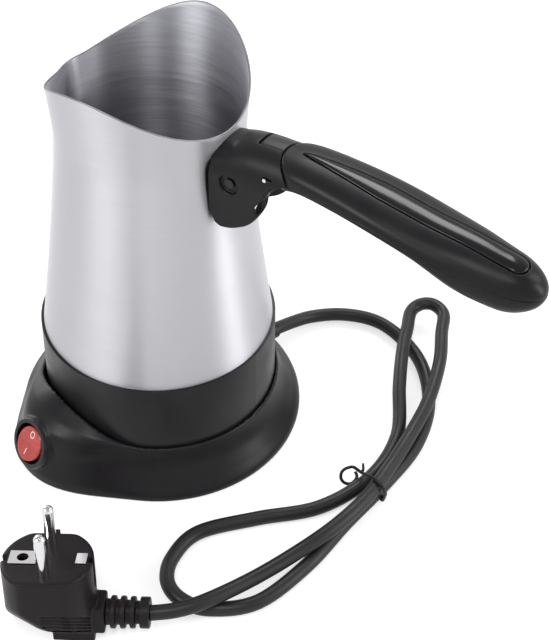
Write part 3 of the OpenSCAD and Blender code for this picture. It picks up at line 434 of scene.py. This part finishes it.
# ---- mains lead, first of the pieces ----
CORD_R = 3.3
route = [
    (24.2, 63, 9), (31.5, 85, 4.1), (47, 98.5, 3.3), (67, 102, 3.3), (92.5, 90.5, 3.3),
    (111, 67.5, 3.3), (119.5, 39.5, 3.3), (119, 10, 3.3), (116, -19, 3.3), (114, -48.5, 3.3),
    (107, -76.5, 3.3), (92, -91, 3.3), (79, -94, 3.3), (68.5, -89.5, 3.3), (63, -78, 3.3),
    (64.5, -60.5, 3.3), (81.5, -39.5, 3.3), (101.5, -18, 3.3), (111.5, 9.5, 3.3), (109.5, 38.5, 4),
    (96, 64, 7.9), (89, 78, 9.7), (83.5, 90.5, 11), (80, 100, 10.4), (75, 113, 9.2),
    (77, 120, 10.2), (83, 122.5, 11), (90.5, 119, 10.8), (96, 107, 10.9), (105.5, 87, 11.2),
    (113, 62, 10.5), (116.5, 39.5, 10.7), (118.5, 16.5, 10.5), (119, -6.5, 10.9),
    (115.5, -29, 10.5), (108, -50.5, 8.3), (100, -72, 8.4), (91, -93, 10.3), (83.5, -103.2, 10),
    (75.2, -110.3, 9.7)]
path = flow(route, 8)
path[:, 2] = np.maximum(path[:, 2], CORD_R)
lead = piece("mains_lead", *rings(tube(path, CORD_R, 20)), "base", "cable_black",
             [cable_black], ["cord"], sharp=50)


# ---- plug: local X to the lead, Z along the pins, its face at Z = 0 ----
plug_turn = np.array(Matrix.Rotation(math.radians(31), 3, "Z")
                     @ Matrix.Rotation(math.radians(-2), 3, "Y")
                     @ Matrix.Rotation(math.radians(-13), 3, "X"))
plug_at = np.array((35.9, -126.2, 35.9))
PLUG_R, PLUG_HALF, PLUG_LOW = 19.1, 16.8, -40
EARTH_X, EARTH_R = -10, 2.4
GROOVES, GROOVE_PITCH, GROOVE_HALF, GROOVE_DEEP = 5, 1.75, 0.4, 0.7


def in_plug(points):
    return np.asarray(points, float) @ plug_turn.T + plug_at


SLOPE_AZ = math.radians(236.6)
SLOPE_X, SLOPE_Y = math.cos(SLOPE_AZ), math.sin(SLOPE_AZ)


def plug_field(x, y, z):
    """The plug's moulding: a flattened drum with a sloped underside, a neck towards the lead,
    a tab below, a key on its rim, grip grooves, and recesses for the earth contacts."""
    slope = SLOPE_X * x + SLOPE_Y * y
    side = polygon([(-30, 0), (22, 0), (22, -13.8), (3.3, PLUG_LOW), (-30, PLUG_LOW)], slope, z)
    front = polygon([(-20, 0), (20, 0), (20, PLUG_LOW), (0, PLUG_LOW), (-20, -22.3)], y, z)
    f = smax(np.sqrt(x * x + y * y) - PLUG_R, np.abs(y) - PLUG_HALF, 1.0)
    f = smax(smax(f, side, 1.6), front, 1.6)
    drum = f
    neck = block(x, y, z, (0, -6.9, -34.8), (22.6, 6.9, -22), 1.2)
    tab = block(x, y, z, (0.5, -7, -39), (18.1, 5, -31), 0.8)
    key = block(x, y, z, (0.3, 16, -6), (2.4, 18.6, -0.1), 0.3)
    f = smin(smin(smin(f, neck, 1.0), tab, 0.5), key, 0.5)
    for i in range(GROOVES):
        level = np.abs(z + 0.85 * (y + PLUG_HALF) + 17.4 + GROOVE_PITCH * i) - GROOVE_HALF
        groove = np.maximum(np.maximum(level, -drum - GROOVE_DEEP),
                            np.maximum(np.abs(x - 8) - 9, y))
        f = smax(f, -groove, 0.4)
    f = smax(f, EARTH_R - np.sqrt((x - EARTH_X) ** 2 + y * y) + 0 * z, 0.3)
    rim_slots = [((a, -1.8, -14), (a + 3.4, 1.8, 5)) for a in (-19.8, 16.4)]
    earth_plate = ((-15.8, -4.2, -0.8), (-4.0, 4.2, 5))
    earth_clip = ((11.8, -3.4, -0.8), (16.6, 3.4, 5))
    for (low, high), k in zip(rim_slots + [earth_plate, earth_clip], (0.3, 0.3, 0.2, 0.2)):
        f = smax(f, -block(x, y, z, low, high), k)
    over_floor = plug_turn[2, 0] * x + plug_turn[2, 1] * y + plug_turn[2, 2] * z + plug_at[2]
    return np.maximum(f, 0.05 - over_floor)


points, faces = field_mesh(plug_field, (-20.5, -19, -39), (24, 20, 1), step=0.42)
plug = piece("plug_moulding", in_plug(points), faces, "base", "plug_black", [plug_black],
             ["plug_body"])

# The ribbed strain relief, as (radius, place along it) from the neck's end
NECK_END, LEAD_LOW = 22.6, -28.4
RELIEF_LEN, RIB_PITCH, RIB_WIDE, RIBS = 18.4, 4.1, 2.2, 4
ribs = [(0, 0.05), (5.6, 0.05), (5.45, 2)]
for i in range(RIBS):
    a = 2 + RIB_PITCH * i
    b = a + (RIB_PITCH if i == RIBS - 1 else RIB_WIDE)
    low, high = 5.6 - a / RELIEF_LEN, 6.9 - 0.1 * i
    ribs += [(low, a), (high, a + 0.05), (high, b - 0.05), (low - 0.1, b)]
ribs += [(CORD_R + 0.05, RELIEF_LEN), (CORD_R + 0.05, 14)]
rows = [[(z + NECK_END, -y, x + LEAD_LOW) for x, y, z in row]
        for row in lathe(rounded(ribs, 0.55), 64)]
points, faces = rings([list(map(tuple, in_plug(row))) for row in rows], caps=False)
relief = piece("plug_strain_relief", points, faces, "base", "plug_black", [plug_black],
               ["plug_relief"], sharp=70)

# ---- tie round the lead: a wire tie with its ends twisted ----
tie_line = flow([(104.6, 7.9, 4.9), (106.2, 6.9, 3.6), (106.3, 4.9, 2.3), (105.2, 2.7, 1.6),
                 (103, 1.5, 2), (101, 1.5, 3.5), (100.1, 2.8, 5.5), (100.6, 4.4, 7),
                 (102, 5.8, 7.9), (104, 7.2, 8.2), (109.3, 5.4, 9.6), (115.6, 2.6, 13.6),
                 (120, 0.8, 15.1), (123.5, 0.4, 12.9), (124.1, 1.6, 8.6), (123.1, 2.9, 4.2),
                 (121.9, 3.4, 1.3)], 8)
TIE_R, TIE_END_R = 0.75, 1.25
thick = np.full(len(tie_line), TIE_R)
thick[-10:] = np.linspace(TIE_R, TIE_END_R, 10)
tie = piece("tie_band", *rings(tube(tie_line, thick, 12)), "base", "tie_black", [tie_black],
            ["cord_tie"], sharp=60)
tail = flow([(108.6, 5.9, 8.9), (109, 7, 9.6), (108.4, 8.1, 10.6), (107.6, 9.1, 11.5)], 6)
tail_r = np.linspace(TIE_R, 0.55, len(tail))
tie_tail = piece("tie_tail", *rings(tube(tail, tail_r, 12)), "base", "tie_black", [tie_black],
                 sharp=60)


# ---- jug: a narrow neck, a flared rim cut by a level cylinder across it, and a spout ----
WALL = 0.8
NECK_R, NECK_Z = 40, 162
BELLY_OUT, BELLY_TALL, FLARE_OUT, FLARE_TALL = 12.5, 103, 3.3, 38.2
RIM_LOW, RIM_CUT_R = 177.5, 54.8
SPOUT_R, SPOUT_OUT, LEAN = 16.0, 1.4, math.tan(math.radians(4.9))
SPOUT_FROM = 120


def jug_side(z):
    """The jug's outside radius at a height, without the spout."""
    z = np.asarray(z, float)
    belly = NECK_R + BELLY_OUT * (np.clip(NECK_Z - z, 0, BELLY_TALL) / BELLY_TALL) ** 1.2
    flare = NECK_R + FLARE_OUT * (np.clip(z - NECK_Z, 0, None) / FLARE_TALL) ** 1.5
    return np.where(z < NECK_Z, belly, flare)


def jug_radius(az, z):
    """The jug's outside, with the spout drawn out of it: a round lip and two flat flanks."""
    round_ = jug_side(z)
    reach = float(jug_side(RIM_LOW)) + SPOUT_OUT - SPOUT_R + LEAN * (z - RIM_LOW)
    off = np.arccos(np.clip(-np.cos(az), -1, 1))
    touch = np.arccos(np.clip((round_ - SPOUT_R) / np.maximum(reach, 1), -1, 1))
    ends = np.arctan2(SPOUT_R * np.sin(touch), reach + SPOUT_R * np.cos(touch))
    lip = reach * np.cos(off) + np.sqrt(np.maximum(SPOUT_R ** 2 - (reach * np.sin(off)) ** 2, 0))
    flank = round_ / np.cos(np.clip(off - touch, -1.2, 1.2))
    drawn = np.where(off < ends, lip, np.where(off < touch, flank, round_))
    return np.where(z > SPOUT_FROM, np.maximum(drawn, round_), round_)


def rim_height(az):
    """Where the cylinder that cuts the rim meets the jug's side."""
    z = np.full_like(az, RIM_LOW)
    for _ in range(12):
        y = jug_radius(az, z) * np.sin(az)
        z = RIM_LOW + RIM_CUT_R - np.sqrt(RIM_CUT_R ** 2 - y * y)
    return z


SIDES = 320
az = 2 * math.pi * np.arange(SIDES) / SIDES
top = rim_height(az)
rows = []


def jug_row(radius, z):
    rows.append(np.stack([radius * np.cos(az), radius * np.sin(az), z + 0 * az], -1))


# Rows from the middle of the foot's underside, up the outside, over the rim and down inside
for r, z in rounded([(0.5, 46), (49.5, 46), (52.45, 46.1), (52.5, 49)], 2.8, 6):
    jug_row(r, z)
SIDE_LOW = 54
side_top = top - WALL / 2
levels = [SIDE_LOW + (side_top - SIDE_LOW) * s
          for s in np.concatenate([np.linspace(0, 0.8, 40), np.linspace(0.82, 1, 16)])]
for z in levels:
    jug_row(jug_radius(az, z), z)
rim_from = len(rows) - 1
for a in np.radians((45, 90, 135)):
    jug_row(jug_radius(az, top) + WALL / 2 * (math.cos(a) - 1), side_top + WALL / 2 * math.sin(a))
inside_from = len(rows)
for z in levels[::-1]:
    jug_row(jug_radius(az, z) - WALL, z)
for r, z in rounded([(51.7, 50), (51.7, 46.85), (49.5, 46.8), (0.5, 46.8)], 2.4, 6):
    jug_row(r, z)
points, faces = rings([list(map(tuple, row)) for row in rows])
which = [0 if k < rim_from * SIDES else 2 if k < inside_from * SIDES else 1
         for k in range(len(faces) - 2)] + [1, 0]
piece("jug_shell", points, faces, "base", "steel", [steel_out, steel_in, steel_rim], ["jug"],
      sharp=60, which=which)


# ---- skirt with the switch lobe ----
SWITCH_AZ, RISE = math.radians(-107), math.radians(23)
LOBE_OUT, SEAT_R, SEAT_Z, BEZEL_R = 42.7, 73.9, 17.7, 12.1
FLOOR_GAP, COLLAR_ROOM_R, WELL_R, SKIRT_WALL, LOBE_WALL = 0.4, 54.75, 9.95, 2.4, 2.6
away = np.array((math.cos(SWITCH_AZ), math.sin(SWITCH_AZ)))
seat_out = np.array((*(away * math.cos(RISE)), math.sin(RISE)))
seat_down = np.array((*(away * math.sin(RISE)), -math.cos(RISE)))
seat_side = np.cross(seat_out, seat_down)
seat_at = np.array((*(away * SEAT_R), SEAT_Z))
LOBE = away * LOBE_OUT
skirt_side = [(0, 66.75), (2.6, 66.75), (4.6, 65.7), (8, 63), (14, 59), (20, 56.6), (24.5, 55.9),
              (40, 55.9)]
lobe_side = [(0, 34.75), (3, 34.75), (6, 34.5), (11, 32.5), (16.4, 30.6), (22, 29.2), (27, 26.9),
             (30, 23.2), (33, 17.7), (36, 12), (40, 4.4)]


def skirt_field(x, y, z):
    """The skirt's ring and the lobe blended, a pad under the bezel, hollow from below, with a
    round opening for the collar and a bore for the switch."""
    rho = np.sqrt(x * x + y * y)
    lobe_rho = np.sqrt((x - LOBE[0]) ** 2 + (y - LOBE[1]) ** 2)
    ring = smax((rho - hermite(skirt_side, z)) * 0.9, z - 24, 1.6)
    lobe = smax((lobe_rho - hermite(lobe_side, z)) * 0.75, z - 37, 2.0)
    out = smin(ring, lobe, 9.0)
    px, py, pz = (v - c for v, c in zip((x, y, z), seat_at))
    high = px * seat_out[0] + py * seat_out[1] + pz * seat_out[2]
    off = np.sqrt(np.maximum(px * px + py * py + pz * pz - high * high, 0))
    pad = np.maximum(np.maximum(off - BEZEL_R, high + 0.05), -high - 6)
    out = smax(smin(out, pad, 1.6), FLOOR_GAP - z, 0.8)
    lip = COLLAR_ROOM_R + 0.9 * np.clip((z - 24.5) / 3, 0, 1)
    room_r = np.where(z < 14, hermite(skirt_side, z) - SKIRT_WALL, lip)
    inside = np.maximum(np.minimum(rho - room_r, lobe + LOBE_WALL), -z - 5)
    out = smax(out, -inside, 0.5)
    return np.maximum(out, -np.maximum(off - WELL_R, -high - 9))


points, faces = field_mesh(skirt_field, (-68, -79, 0), (68, 68, 42), step=0.72)
piece("skirt_shell", points, faces, "base", "base_black", [base_black], ["skirt"])

# ---- handle bracket and latch button; X and Z here count from the fold axis ----
PIVOT = (48.5, 161.5)
HALF_W = 14.2
CHEEK_IN = 11.5
GRIP_NOSE_X, NOSE_ROOM_R = 31.4, 13.6
bracket_top = [(-14, 11.6), (-5.8, 13.7), (-0.5, 15.5), (7.5, 16.8), (21.5, 17.5), (34, 17.8)]
bracket_round = [(-14, 2), (-6, 2.05), (8, 2.25), (34, 2.36)]
cheek_r = [(-100, 23.5), (-88, 21.9), (-73, 20), (-36, 17.2), (0, 17.2)]
cheek = [(r * math.cos(math.radians(a)), r * math.sin(math.radians(a)))
         for a, r in zip(range(-100, 1, 4), hermite(cheek_r, list(range(-100, 1, 4))))]
cheek += [(17.8, 2.2), (18.7, 3.8), (20, 5.2), (21.3, 6.5), (22.7, 7.4), (24.8, 8.5), (27.2, 9.4),
          (28.4, 9.7), (28.4, 20), (-14, 20), (-14, -20), (-8.5, -18.5), (-6.9, -22)]
notch = [(22, 1), (17.6, 1), (14.6, -2.1), (12.4, -6), (12.8, -8.1), (14.2, -9.4), (22, -14)]


def bracket_form(X, y, Z):
    """The bracket's rounded back, as a superellipse whose height follows bracket_top."""
    n = hermite(bracket_round, X)
    high = np.maximum(Z - 1.5, 0) / (hermite(bracket_top, X) - 1.5)
    g = ((np.abs(y) / HALF_W) ** n + high ** n) ** (1 / n)
    return (g - 1) * HALF_W


def nose_room(X, y):
    """The round room that the grip's nose turns in."""
    return NOSE_ROOM_R - np.sqrt((X - GRIP_NOSE_X) ** 2 + y * y)


def latch_edge(X):
    """The latch button's far side, which widens a little outwards."""
    return 7.65 + 0.12 * (X - 9)


def bracket_field(x, y, z):
    """Two cheeks under a rounded back, open between them, with a pit over the fold pin, a
    notch that shows the leaf spring's edge, and a slit that shows the latch's pin."""
    X, Z = x - PIVOT[0], z - PIVOT[1]
    form = bracket_form(X, y, Z)
    f = smax(form, polygon(cheek, X, Z), 1.3)
    room = np.maximum(form + 2.5, block(x, y, z, (43, -10.7, 121), (103, 10.7, 181)))
    shelf = block(X, y, Z, (8.5, -20, 5.9), (17.5, 20, 7.3))
    f = smax(f, -np.maximum(room, -shelf), 0.5)
    rho = np.sqrt(x * x + y * y)
    f = np.maximum(f, jug_side(z) - rho)  # its foot follows the jug's side
    f = np.maximum(f, np.minimum(41.5 - rho, z - 175.5))  # and stays below the rim
    f = smax(f, nose_room(X, y) + 0 * Z, 0.6)
    button_sides = np.maximum(-2.75 - y, y - (latch_edge(X) + 0.25))
    button_room = np.maximum(np.maximum(6.45 - X, X - 25), np.maximum(button_sides, 10 - Z))
    pit = np.maximum(np.sqrt(X * X + Z * Z) - 4.3, 12.5 - np.abs(y))
    leaf_notch = np.maximum(polygon(notch, X, Z), CHEEK_IN - np.abs(y))
    slit = np.maximum(np.maximum(np.abs(X - 17.4) - 1.9, np.abs(Z - 9.5) - 0.5),
                      CHEEK_IN - 0.1 - np.abs(y))
    for cut, k in ((button_room, 0.3), (pit, 0.9), (leaf_notch, 0.7), (slit, 0.2)):
        f = smax(f, -cut, k)
    return f


points, faces = field_mesh(bracket_field, (39, -15, 137.5), (81, 15, 181), step=0.42)
piece("bracket_shell", points, faces, "base", "handle_black", [handle_black], ["handle_bracket"])


def latch_field(x, y, z):
    """The button's cap, flush with the bracket's back, on a round stem."""
    X, Z = x - PIVOT[0], z - PIVOT[1]
    sides = np.maximum(np.maximum(7.3 - X, X - 24), np.maximum(-2.65 - y, y - latch_edge(X)))
    f = smax(smax(bracket_form(X, y, Z), sides, 0.7), 11.7 - Z, 0.4)
    f = smax(f, nose_room(X, y) + 0 * Z, 0.5)
    stem = np.maximum(np.sqrt((X - 12.4) ** 2 + (y - 3) ** 2) - 2, np.maximum(5.7 - Z, Z - 12.5))
    return np.minimum(f, stem)


points, faces = field_mesh(latch_field, (54, -4, 166), (73, 11, 181), step=0.3)
piece("latch_cap", points, faces, "latch", "handle_black", [latch_black], ["latch_button"])

# ---- hinge core ----
CORE_HALF, TANG_HALF = 10.15, 4.45
TANG_LOW, TANG_HIGH, TANG_END = 7.95, 12.85, 55.4
KNUCKLE_R, PIN_BORE_R = 5, 2.25
knuckle_plan = [(0, -4.5), (11.5, -4.5), (14.6, -1.6), (16.4, 3.8), (0, 3.8)]
tang_plan = [(10, -4), (14, -2.4), (19.5, 4.9), (27, 7.1), (30, TANG_LOW), (TANG_END, TANG_LOW),
             (TANG_END, TANG_HIGH), (24, TANG_HIGH), (18.5, 3.8), (10, 3.8)]


def core_field(x, y, z):
    """The hinge core: a knuckle on the fold pin and a tang that goes into the grip."""
    X, Z = x - PIVOT[0], z - PIVOT[1]
    wide, off = np.abs(y), np.sqrt(X * X + Z * Z)
    knuckle = smax(np.minimum(off - KNUCKLE_R, polygon(knuckle_plan, X, Z)), wide - CORE_HALF, 0.8)
    tang = smax(polygon(tang_plan, X, Z), wide - TANG_HALF, 0.6)
    return smax(smin(knuckle, tang, 0.8), PIN_BORE_R - off + 0 * y, 0.3)


points, faces = field_mesh(core_field, (42, -11, 155), (105, 11, 176), step=0.5)
piece("hinge_core", points, faces, "handle", "handle_black", [core_black], ["handle_core"])

# ---- grip: upper and lower shell and the glossy inlay ----
GRIP, GRIP_FROM = 113.0, 18.1
GRIP_N, TIP_N = 2.36, 2.2


def grip_at(share):
    return GRIP_FROM + GRIP * share


def along_grip(table):
    return [(grip_at(a), b) for a, b in table]


grip_top = along_grip([(-0.05, 16.5), (0, 17), (0.1, 17.9), (0.25, 17.1), (0.4, 15.2),
                       (0.56, 12.6), (0.72, 10.8), (0.87, 8.4), (1, 7)])
grip_low = along_grip([(-0.05, 0.2), (0, 1.4), (0.1, 4.8), (0.25, 4.4), (0.4, 2.4),
                       (0.56, -1.6), (0.72, -9.1), (0.87, -11.9), (1, -11)])
grip_half = along_grip([(-0.05, 12.7), (0.1, 13.2), (0.25, 14.2), (0.4, 15.1), (0.56, 15.2),
                        (0.72, 14.5), (0.87, 12), (1, 9.5)])
seam_line = along_grip([(-0.1, 9.5), (0.1, 9.6), (0.4, 9), (0.7, 3), (1.1, -3)])
GRIP_END, TIP = grip_at(1), 16.0
INLAY_START, INLAY_LEN, INLAY_HALF = 25.9, GRIP * 0.853, 4.6
INLAY_ROUND = INLAY_START + INLAY_LEN - INLAY_HALF


def grip_section(X):
    """Half width, middle height and half height of the grip at a place along it."""
    hi, lo = hermite(grip_top, X), hermite(grip_low, X)
    return hermite(grip_half, X), (hi + lo) / 2, (hi - lo) / 2


def grip_form(X, y, Z):
    """Superellipse sections along the grip, closed by a rounded tip."""
    w, mid, h = grip_section(X)
    rho = ((np.abs(y) / w) ** GRIP_N + (np.abs(Z - mid) / h) ** GRIP_N) ** (1 / GRIP_N)
    q = np.clip((X - GRIP_END + TIP) / TIP, 0, None)
    return ((rho ** TIP_N + q ** TIP_N) ** (1 / TIP_N) - 1) * np.minimum(w, h)


def grip_body(X, y, Z):
    """The grip with its round nose, which turns in the bracket's room."""
    d = X - GRIP_NOSE_X
    nose = np.where(d < 0, np.sqrt(d * d + y * y), np.abs(y) - 0.5 * d) - (NOSE_ROOM_R - 0.3)
    return smax(grip_form(X, y, Z), nose + 0 * Z, 0.7)


def inlay_half(X):
    """Half the inlay's width up to its round end: pointed near the bracket, then parallel."""
    s = np.clip((X - INLAY_START) / (INLAY_ROUND - INLAY_START), 0, 1)
    return INLAY_HALF * np.minimum(1, (s / 0.38) ** 0.72)


stations = np.linspace(INLAY_START, INLAY_ROUND, 24)
halves = inlay_half(stations)
arc_end = [(INLAY_ROUND + INLAY_HALF * math.cos(a), INLAY_HALF * math.sin(a))
           for a in np.radians(np.arange(80, -81, -16))]
inlay_plan = list(zip(stations, halves)) + arc_end + list(zip(stations[:0:-1], -halves[:0:-1]))
SEAM_GAP = 0.03
SCREW_AT, SCREW_WELL_R, SCREW_WELL_TOP = (35.5, 49.5), 2.7, 5.6


def upper_field(x, y, z):
    """The upper shell, with a groove round and under the inlay."""
    X, Z = x - PIVOT[0], z - PIVOT[1]
    f = grip_body(X, y, Z)
    groove = np.maximum(polygon(inlay_plan, X, y) - 0.5, -f - 1.4)
    f = smax(f, -(groove + 0 * Z), 0.5)
    return smax(f, hermite(seam_line, X) - Z + SEAM_GAP, 0.25)


def lower_field(x, y, z):
    """The lower shell, with a throat for the hinge core and two screw wells."""
    X, Z = x - PIVOT[0], z - PIVOT[1]
    f = grip_body(X, y, Z)
    f = smax(f, -block(X, y, Z, (15, -4.8, -10), (31, 4.8, 7.9)), 0.5)
    for a in SCREW_AT:
        well = np.sqrt((X - a) ** 2 + y * y) - SCREW_WELL_R
        f = smax(f, np.clip(Z - SCREW_WELL_TOP, 0, None) - well, 0.4)
    return smax(f, Z - hermite(seam_line, X) + SEAM_GAP, 0.25)


points, faces = field_mesh(upper_field, (65.5, -16.5, 155), (181, 16.5, 181), step=0.5)
piece("grip_upper", points, faces, "handle", "handle_black", [handle_black], ["handle_upper"])
points, faces = field_mesh(lower_field, (65.5, -16.5, 148), (181, 16.5, 173), step=0.6)
piece("grip_lower", points, faces, "handle", "handle_black", [handle_black], ["handle_lower"])


def grip_top_at(X, y):
    """Height of the grip's upper face over a place on it."""
    w, mid, h = grip_section(X)
    q = np.clip((X - GRIP_END + TIP) / TIP, 0, 1)
    k = (1 - q ** TIP_N) ** (1 / TIP_N)
    return mid + h * np.clip(k ** GRIP_N - (np.abs(y) / w) ** GRIP_N, 0, 1) ** (1 / GRIP_N)


def half_at(X):
    """Half the inlay's width over its whole length, with its round end."""
    cap = np.clip(1 - ((X - INLAY_ROUND) / INLAY_HALF) ** 2, 0, 1) ** 0.5 * INLAY_HALF
    return np.where(X > INLAY_ROUND, cap, inlay_half(X))


EDGE_ROLL, EDGE_END, CROWN, INLAY_DEEP = 0.55, 0.8, 0.35, 1.3
first = INLAY_START + 0.4
round_end = INLAY_ROUND + INLAY_HALF * np.sin(np.radians(np.linspace(0, 89, 26)))
stations = np.concatenate([first + (INLAY_ROUND - first) * np.linspace(0, 1, 150) ** 1.25,
                           round_end[1:]])
across = np.sin(np.radians(np.linspace(-90, 90, 41)))
rows = []
for X in stations:
    half = float(half_at(np.array(X)))
    y = half * across
    z = grip_top_at(np.full_like(y, X), y)
    rim = np.clip((half - np.abs(y)) / EDGE_ROLL, 0, 1)
    nearest_end = np.clip(min(X - INLAY_START, INLAY_START + INLAY_LEN - X) / EDGE_END, 0, 1)
    roll = EDGE_ROLL * (1 - np.sqrt(1 - (1 - rim * nearest_end ** 0.5) ** 2))
    crown = CROWN * np.clip(1 - (y / max(half, 0.5)) ** 2, 0, 1)
    row = [(X + PIVOT[0], v, h + PIVOT[1]) for v, h in zip(y, z + 0.1 + crown - roll)]
    under = [(X + PIVOT[0], v, h + PIVOT[1]) for v, h in zip(y[::-8], z[::-8] - INLAY_DEEP)]
    rows.append(row + under)
piece("inlay_strip", *rings(rows), "handle", "inlay_gloss", [inlay_black], ["handle_inlay"],
      sharp=60)


# ---- rocker, with the ring and the bar of its printed marks ----
ROCKER_TILT, ROCKER_R, AXIS_Z = math.radians(10), 7.95, 0.4
FACE_MID, FACE_HALF, FACE_END = (0, 0.9), (6, 1.15), (11.5, 1.7)  # place along it, and height


def at_seat(points):
    """From (down, aside, out) at the switch's seat to the object's frame."""
    p = np.asarray(points, float)
    return seat_at + p[:, :1] * seat_down + p[:, 1:2] * seat_side + p[:, 2:3] * seat_out


def rocker_field(x, y, z):
    """A round cap with a hollowed face, tilted to one side, on its pivot."""
    c, s = math.cos(ROCKER_TILT), math.sin(ROCKER_TILT)
    u, v = x * c + (z - AXIS_Z) * s, -x * s + (z - AXIS_Z) * c
    half_face = [FACE_HALF, FACE_END, (11.5, -1.2), (4, -2.4)]
    plan = [FACE_MID] + half_face + [(-a, b) for a, b in half_face[::-1]]
    f = smax(np.sqrt(x * x + y * y) - ROCKER_R, polygon(plan, u, v) + 0 * y, 0.6)
    pin = np.maximum(np.sqrt(x * x + (z + 1) ** 2) - 1, np.abs(y) - 8.8)
    return np.minimum(f, pin)


points, faces = field_mesh(rocker_field, (-10, -10, -4.5), (10, 10, 5), step=0.28)
piece("rocker_cap", at_seat(points), faces, "rocker", "rocker_red", [rocker_red], ["rocker"])


def on_rocker(shape):
    """A flat mark laid on the rocker's face, from (across, along) points."""
    c, s = math.cos(ROCKER_TILT), math.sin(ROCKER_TILT)
    out = []
    for aside, along in shape:
        v = float(np.interp(abs(along), *zip(FACE_MID, FACE_HALF, FACE_END))) + 0.05
        out.append((along * c - v * s, aside, along * s + v * c + AXIS_Z))
    return [tuple(p) for p in at_seat(out)]


O_AT, O_OUTER, O_INNER = -4.6, 1.75, 1.3
I_HALF, I_FROM, I_TO = 0.25, 2.7, 5.9
ring_mark = [on_rocker([(r * 0.85 * math.cos(a), O_AT + r * math.sin(a))
                        for a in np.linspace(0, 2 * math.pi, 40, endpoint=False)])
             for r in (O_OUTER, O_INNER)]
points, faces = rings(ring_mark, caps=False)
piece("mark_o", points, faces, "rocker", "rocker_red", [print_white])
points = on_rocker([(-I_HALF, I_FROM), (I_HALF, I_FROM), (I_HALF, I_TO), (-I_HALF, I_TO)])
piece("mark_i", points, [(0, 1, 2, 3)], "rocker", "rocker_red", [print_white])

# ---- finishes of the CAD parts that show as they are, or are hidden inside ----
finish = {
    collar_black: ["collar"], base_black: ["bottom_cover"], foot_black: ["foot_ring", "lobe_foot"],
    zinc: ["base_screws", "clamp_screws", "handle_screws", "bracket_studs", "bracket_nuts",
           "centre_stud", "stud_nut", "fuse_clip", "earth_tab"],
    spring_steel: ["leaf_springs", "latch_pin", "latch_spring"],
    switch_black: ["switch_housing", "pivot_pin"], cable_black: ["cord_gland"],
    core_black: ["cord_clamp"], nickel: ["plug_pins", "plug_earth_contacts"],
    silicone: ["jug_seal"], aluminium: ["heater_plate"], element_metal: ["heating_element"],
    ceramic: ["terminal_block", "thermostat"], fuse_tan: ["thermal_fuse"],
    brass: ["switch_terminals"], wire_brown: ["wires_live"], wire_blue: ["wires_neutral"],
    wire_earth: ["wires_earth"]}
for look, names in finish.items():
    for name in names:
        mesh = nodes[name].data
        mesh.materials.clear()
        mesh.materials.append(look)


# ---- studio: pale floor, bright surround, soft lamps ----
def floor_material():
    """Pale board that lights the part as grey, and shows white with its soft shadows."""
    t = Tree("floor")
    grey, pale = colour(0.80, 0.80, 0.80), colour(0.84, 0.84, 0.84)
    t.set(Base_Color=t.blend(t.span(t.noise(14, 3), 0, 1), grey, pale), Roughness=0.9)
    seen = t.add("LightPath")
    direct = t.add("Math", {0: seen.outputs["Is Camera Ray"],
                            1: seen.outputs["Is Transmission Ray"]}, operation="MAXIMUM").outputs[0]
    layer = t.shader.outputs[0]
    mirrored_glow, seen_glow = 0.36, 0.6
    for ray, strength in ((seen.outputs["Is Glossy Ray"], mirrored_glow), (direct, seen_glow)):
        half = t.add("BsdfDiffuse", {"Color": colour(0.50, 0.50, 0.50)}).outputs[0]
        glow = t.add("Emission", {"Color": colour(1, 1, 1), "Strength": strength}).outputs[0]
        both = t.add("AddShader", {0: half, 1: glow}).outputs[0]
        layer = t.add("MixShader", {0: ray, 1: layer, 2: both}).outputs[0]
    t.tree.links.new(layer, t.tree.nodes["Material Output"].inputs["Surface"])
    return t.material


FLOOR_SIZE, FLOOR_Z = 8, -0.00005
bpy.ops.mesh.primitive_plane_add(size=FLOOR_SIZE, location=(0, 0, FLOOR_Z))
floor = bpy.context.object
floor.name = "floor"
floor.data.materials.append(floor_material())

world = bpy.data.worlds.new("studio")
bpy.context.scene.world = world
world.use_nodes = True
wt = world.node_tree
sky = wt.nodes["Background"]
where = wt.nodes.new("ShaderNodeTexCoord").outputs["Generated"]
height = wt.nodes.new("ShaderNodeSeparateXYZ")
wt.links.new(where, height.inputs[0])
ramp = wt.nodes.new("ShaderNodeValToRGB")
wt.links.new(height.outputs["Z"], ramp.inputs[0])
for stop, position, tone in zip(ramp.color_ramp.elements, (0.22, 0.75),
                                (colour(1, 1, 1), colour(0.42, 0.42, 0.44))):
    stop.position = position
    stop.color = tone
wt.links.new(ramp.outputs["Color"], sky.inputs["Color"])
sky.inputs["Strength"].default_value = 1.0


def lamp(name, place, aim, size, power):
    """A soft box: place and aim in metres, its two sides in metres, its power in watts."""
    data = bpy.data.lights.new(name, "AREA")
    data.shape = "RECTANGLE"
    data.size, data.size_y = size
    data.energy = power
    obj = bpy.data.objects.new(name, data)
    obj.location = place
    obj.rotation_euler = (Vector(aim) - Vector(place)).to_track_quat("-Z", "Y").to_euler()
    bpy.context.scene.collection.objects.link(obj)


lamp("key", (-0.42, -1.12, 1.15), (0.02, 0, 0.08), (0.65, 0.7), 11.5)
lamp("back", (-0.33, 1.0, 1.25), (0.09, 0, 0.17), (0.85, 0.42), 9)
lamp("right", (1.2, 0.40, 0.5), (0.03, 0, 0.08), (0.45, 0.95), 6.5)
lamp("side", (0.80, 0.88, 1.0), (0, 0, 0.15), (0.35, 0.6), 3.2)
lamp("left", (-1.24, 0.36, 0.45), (0, 0, 0.05), (0.4, 0.85), 4.5)
lamp("mouth", (0.36, -0.58, 1.5), (0, 0, 0.16), (0.10, 0.5), 6)
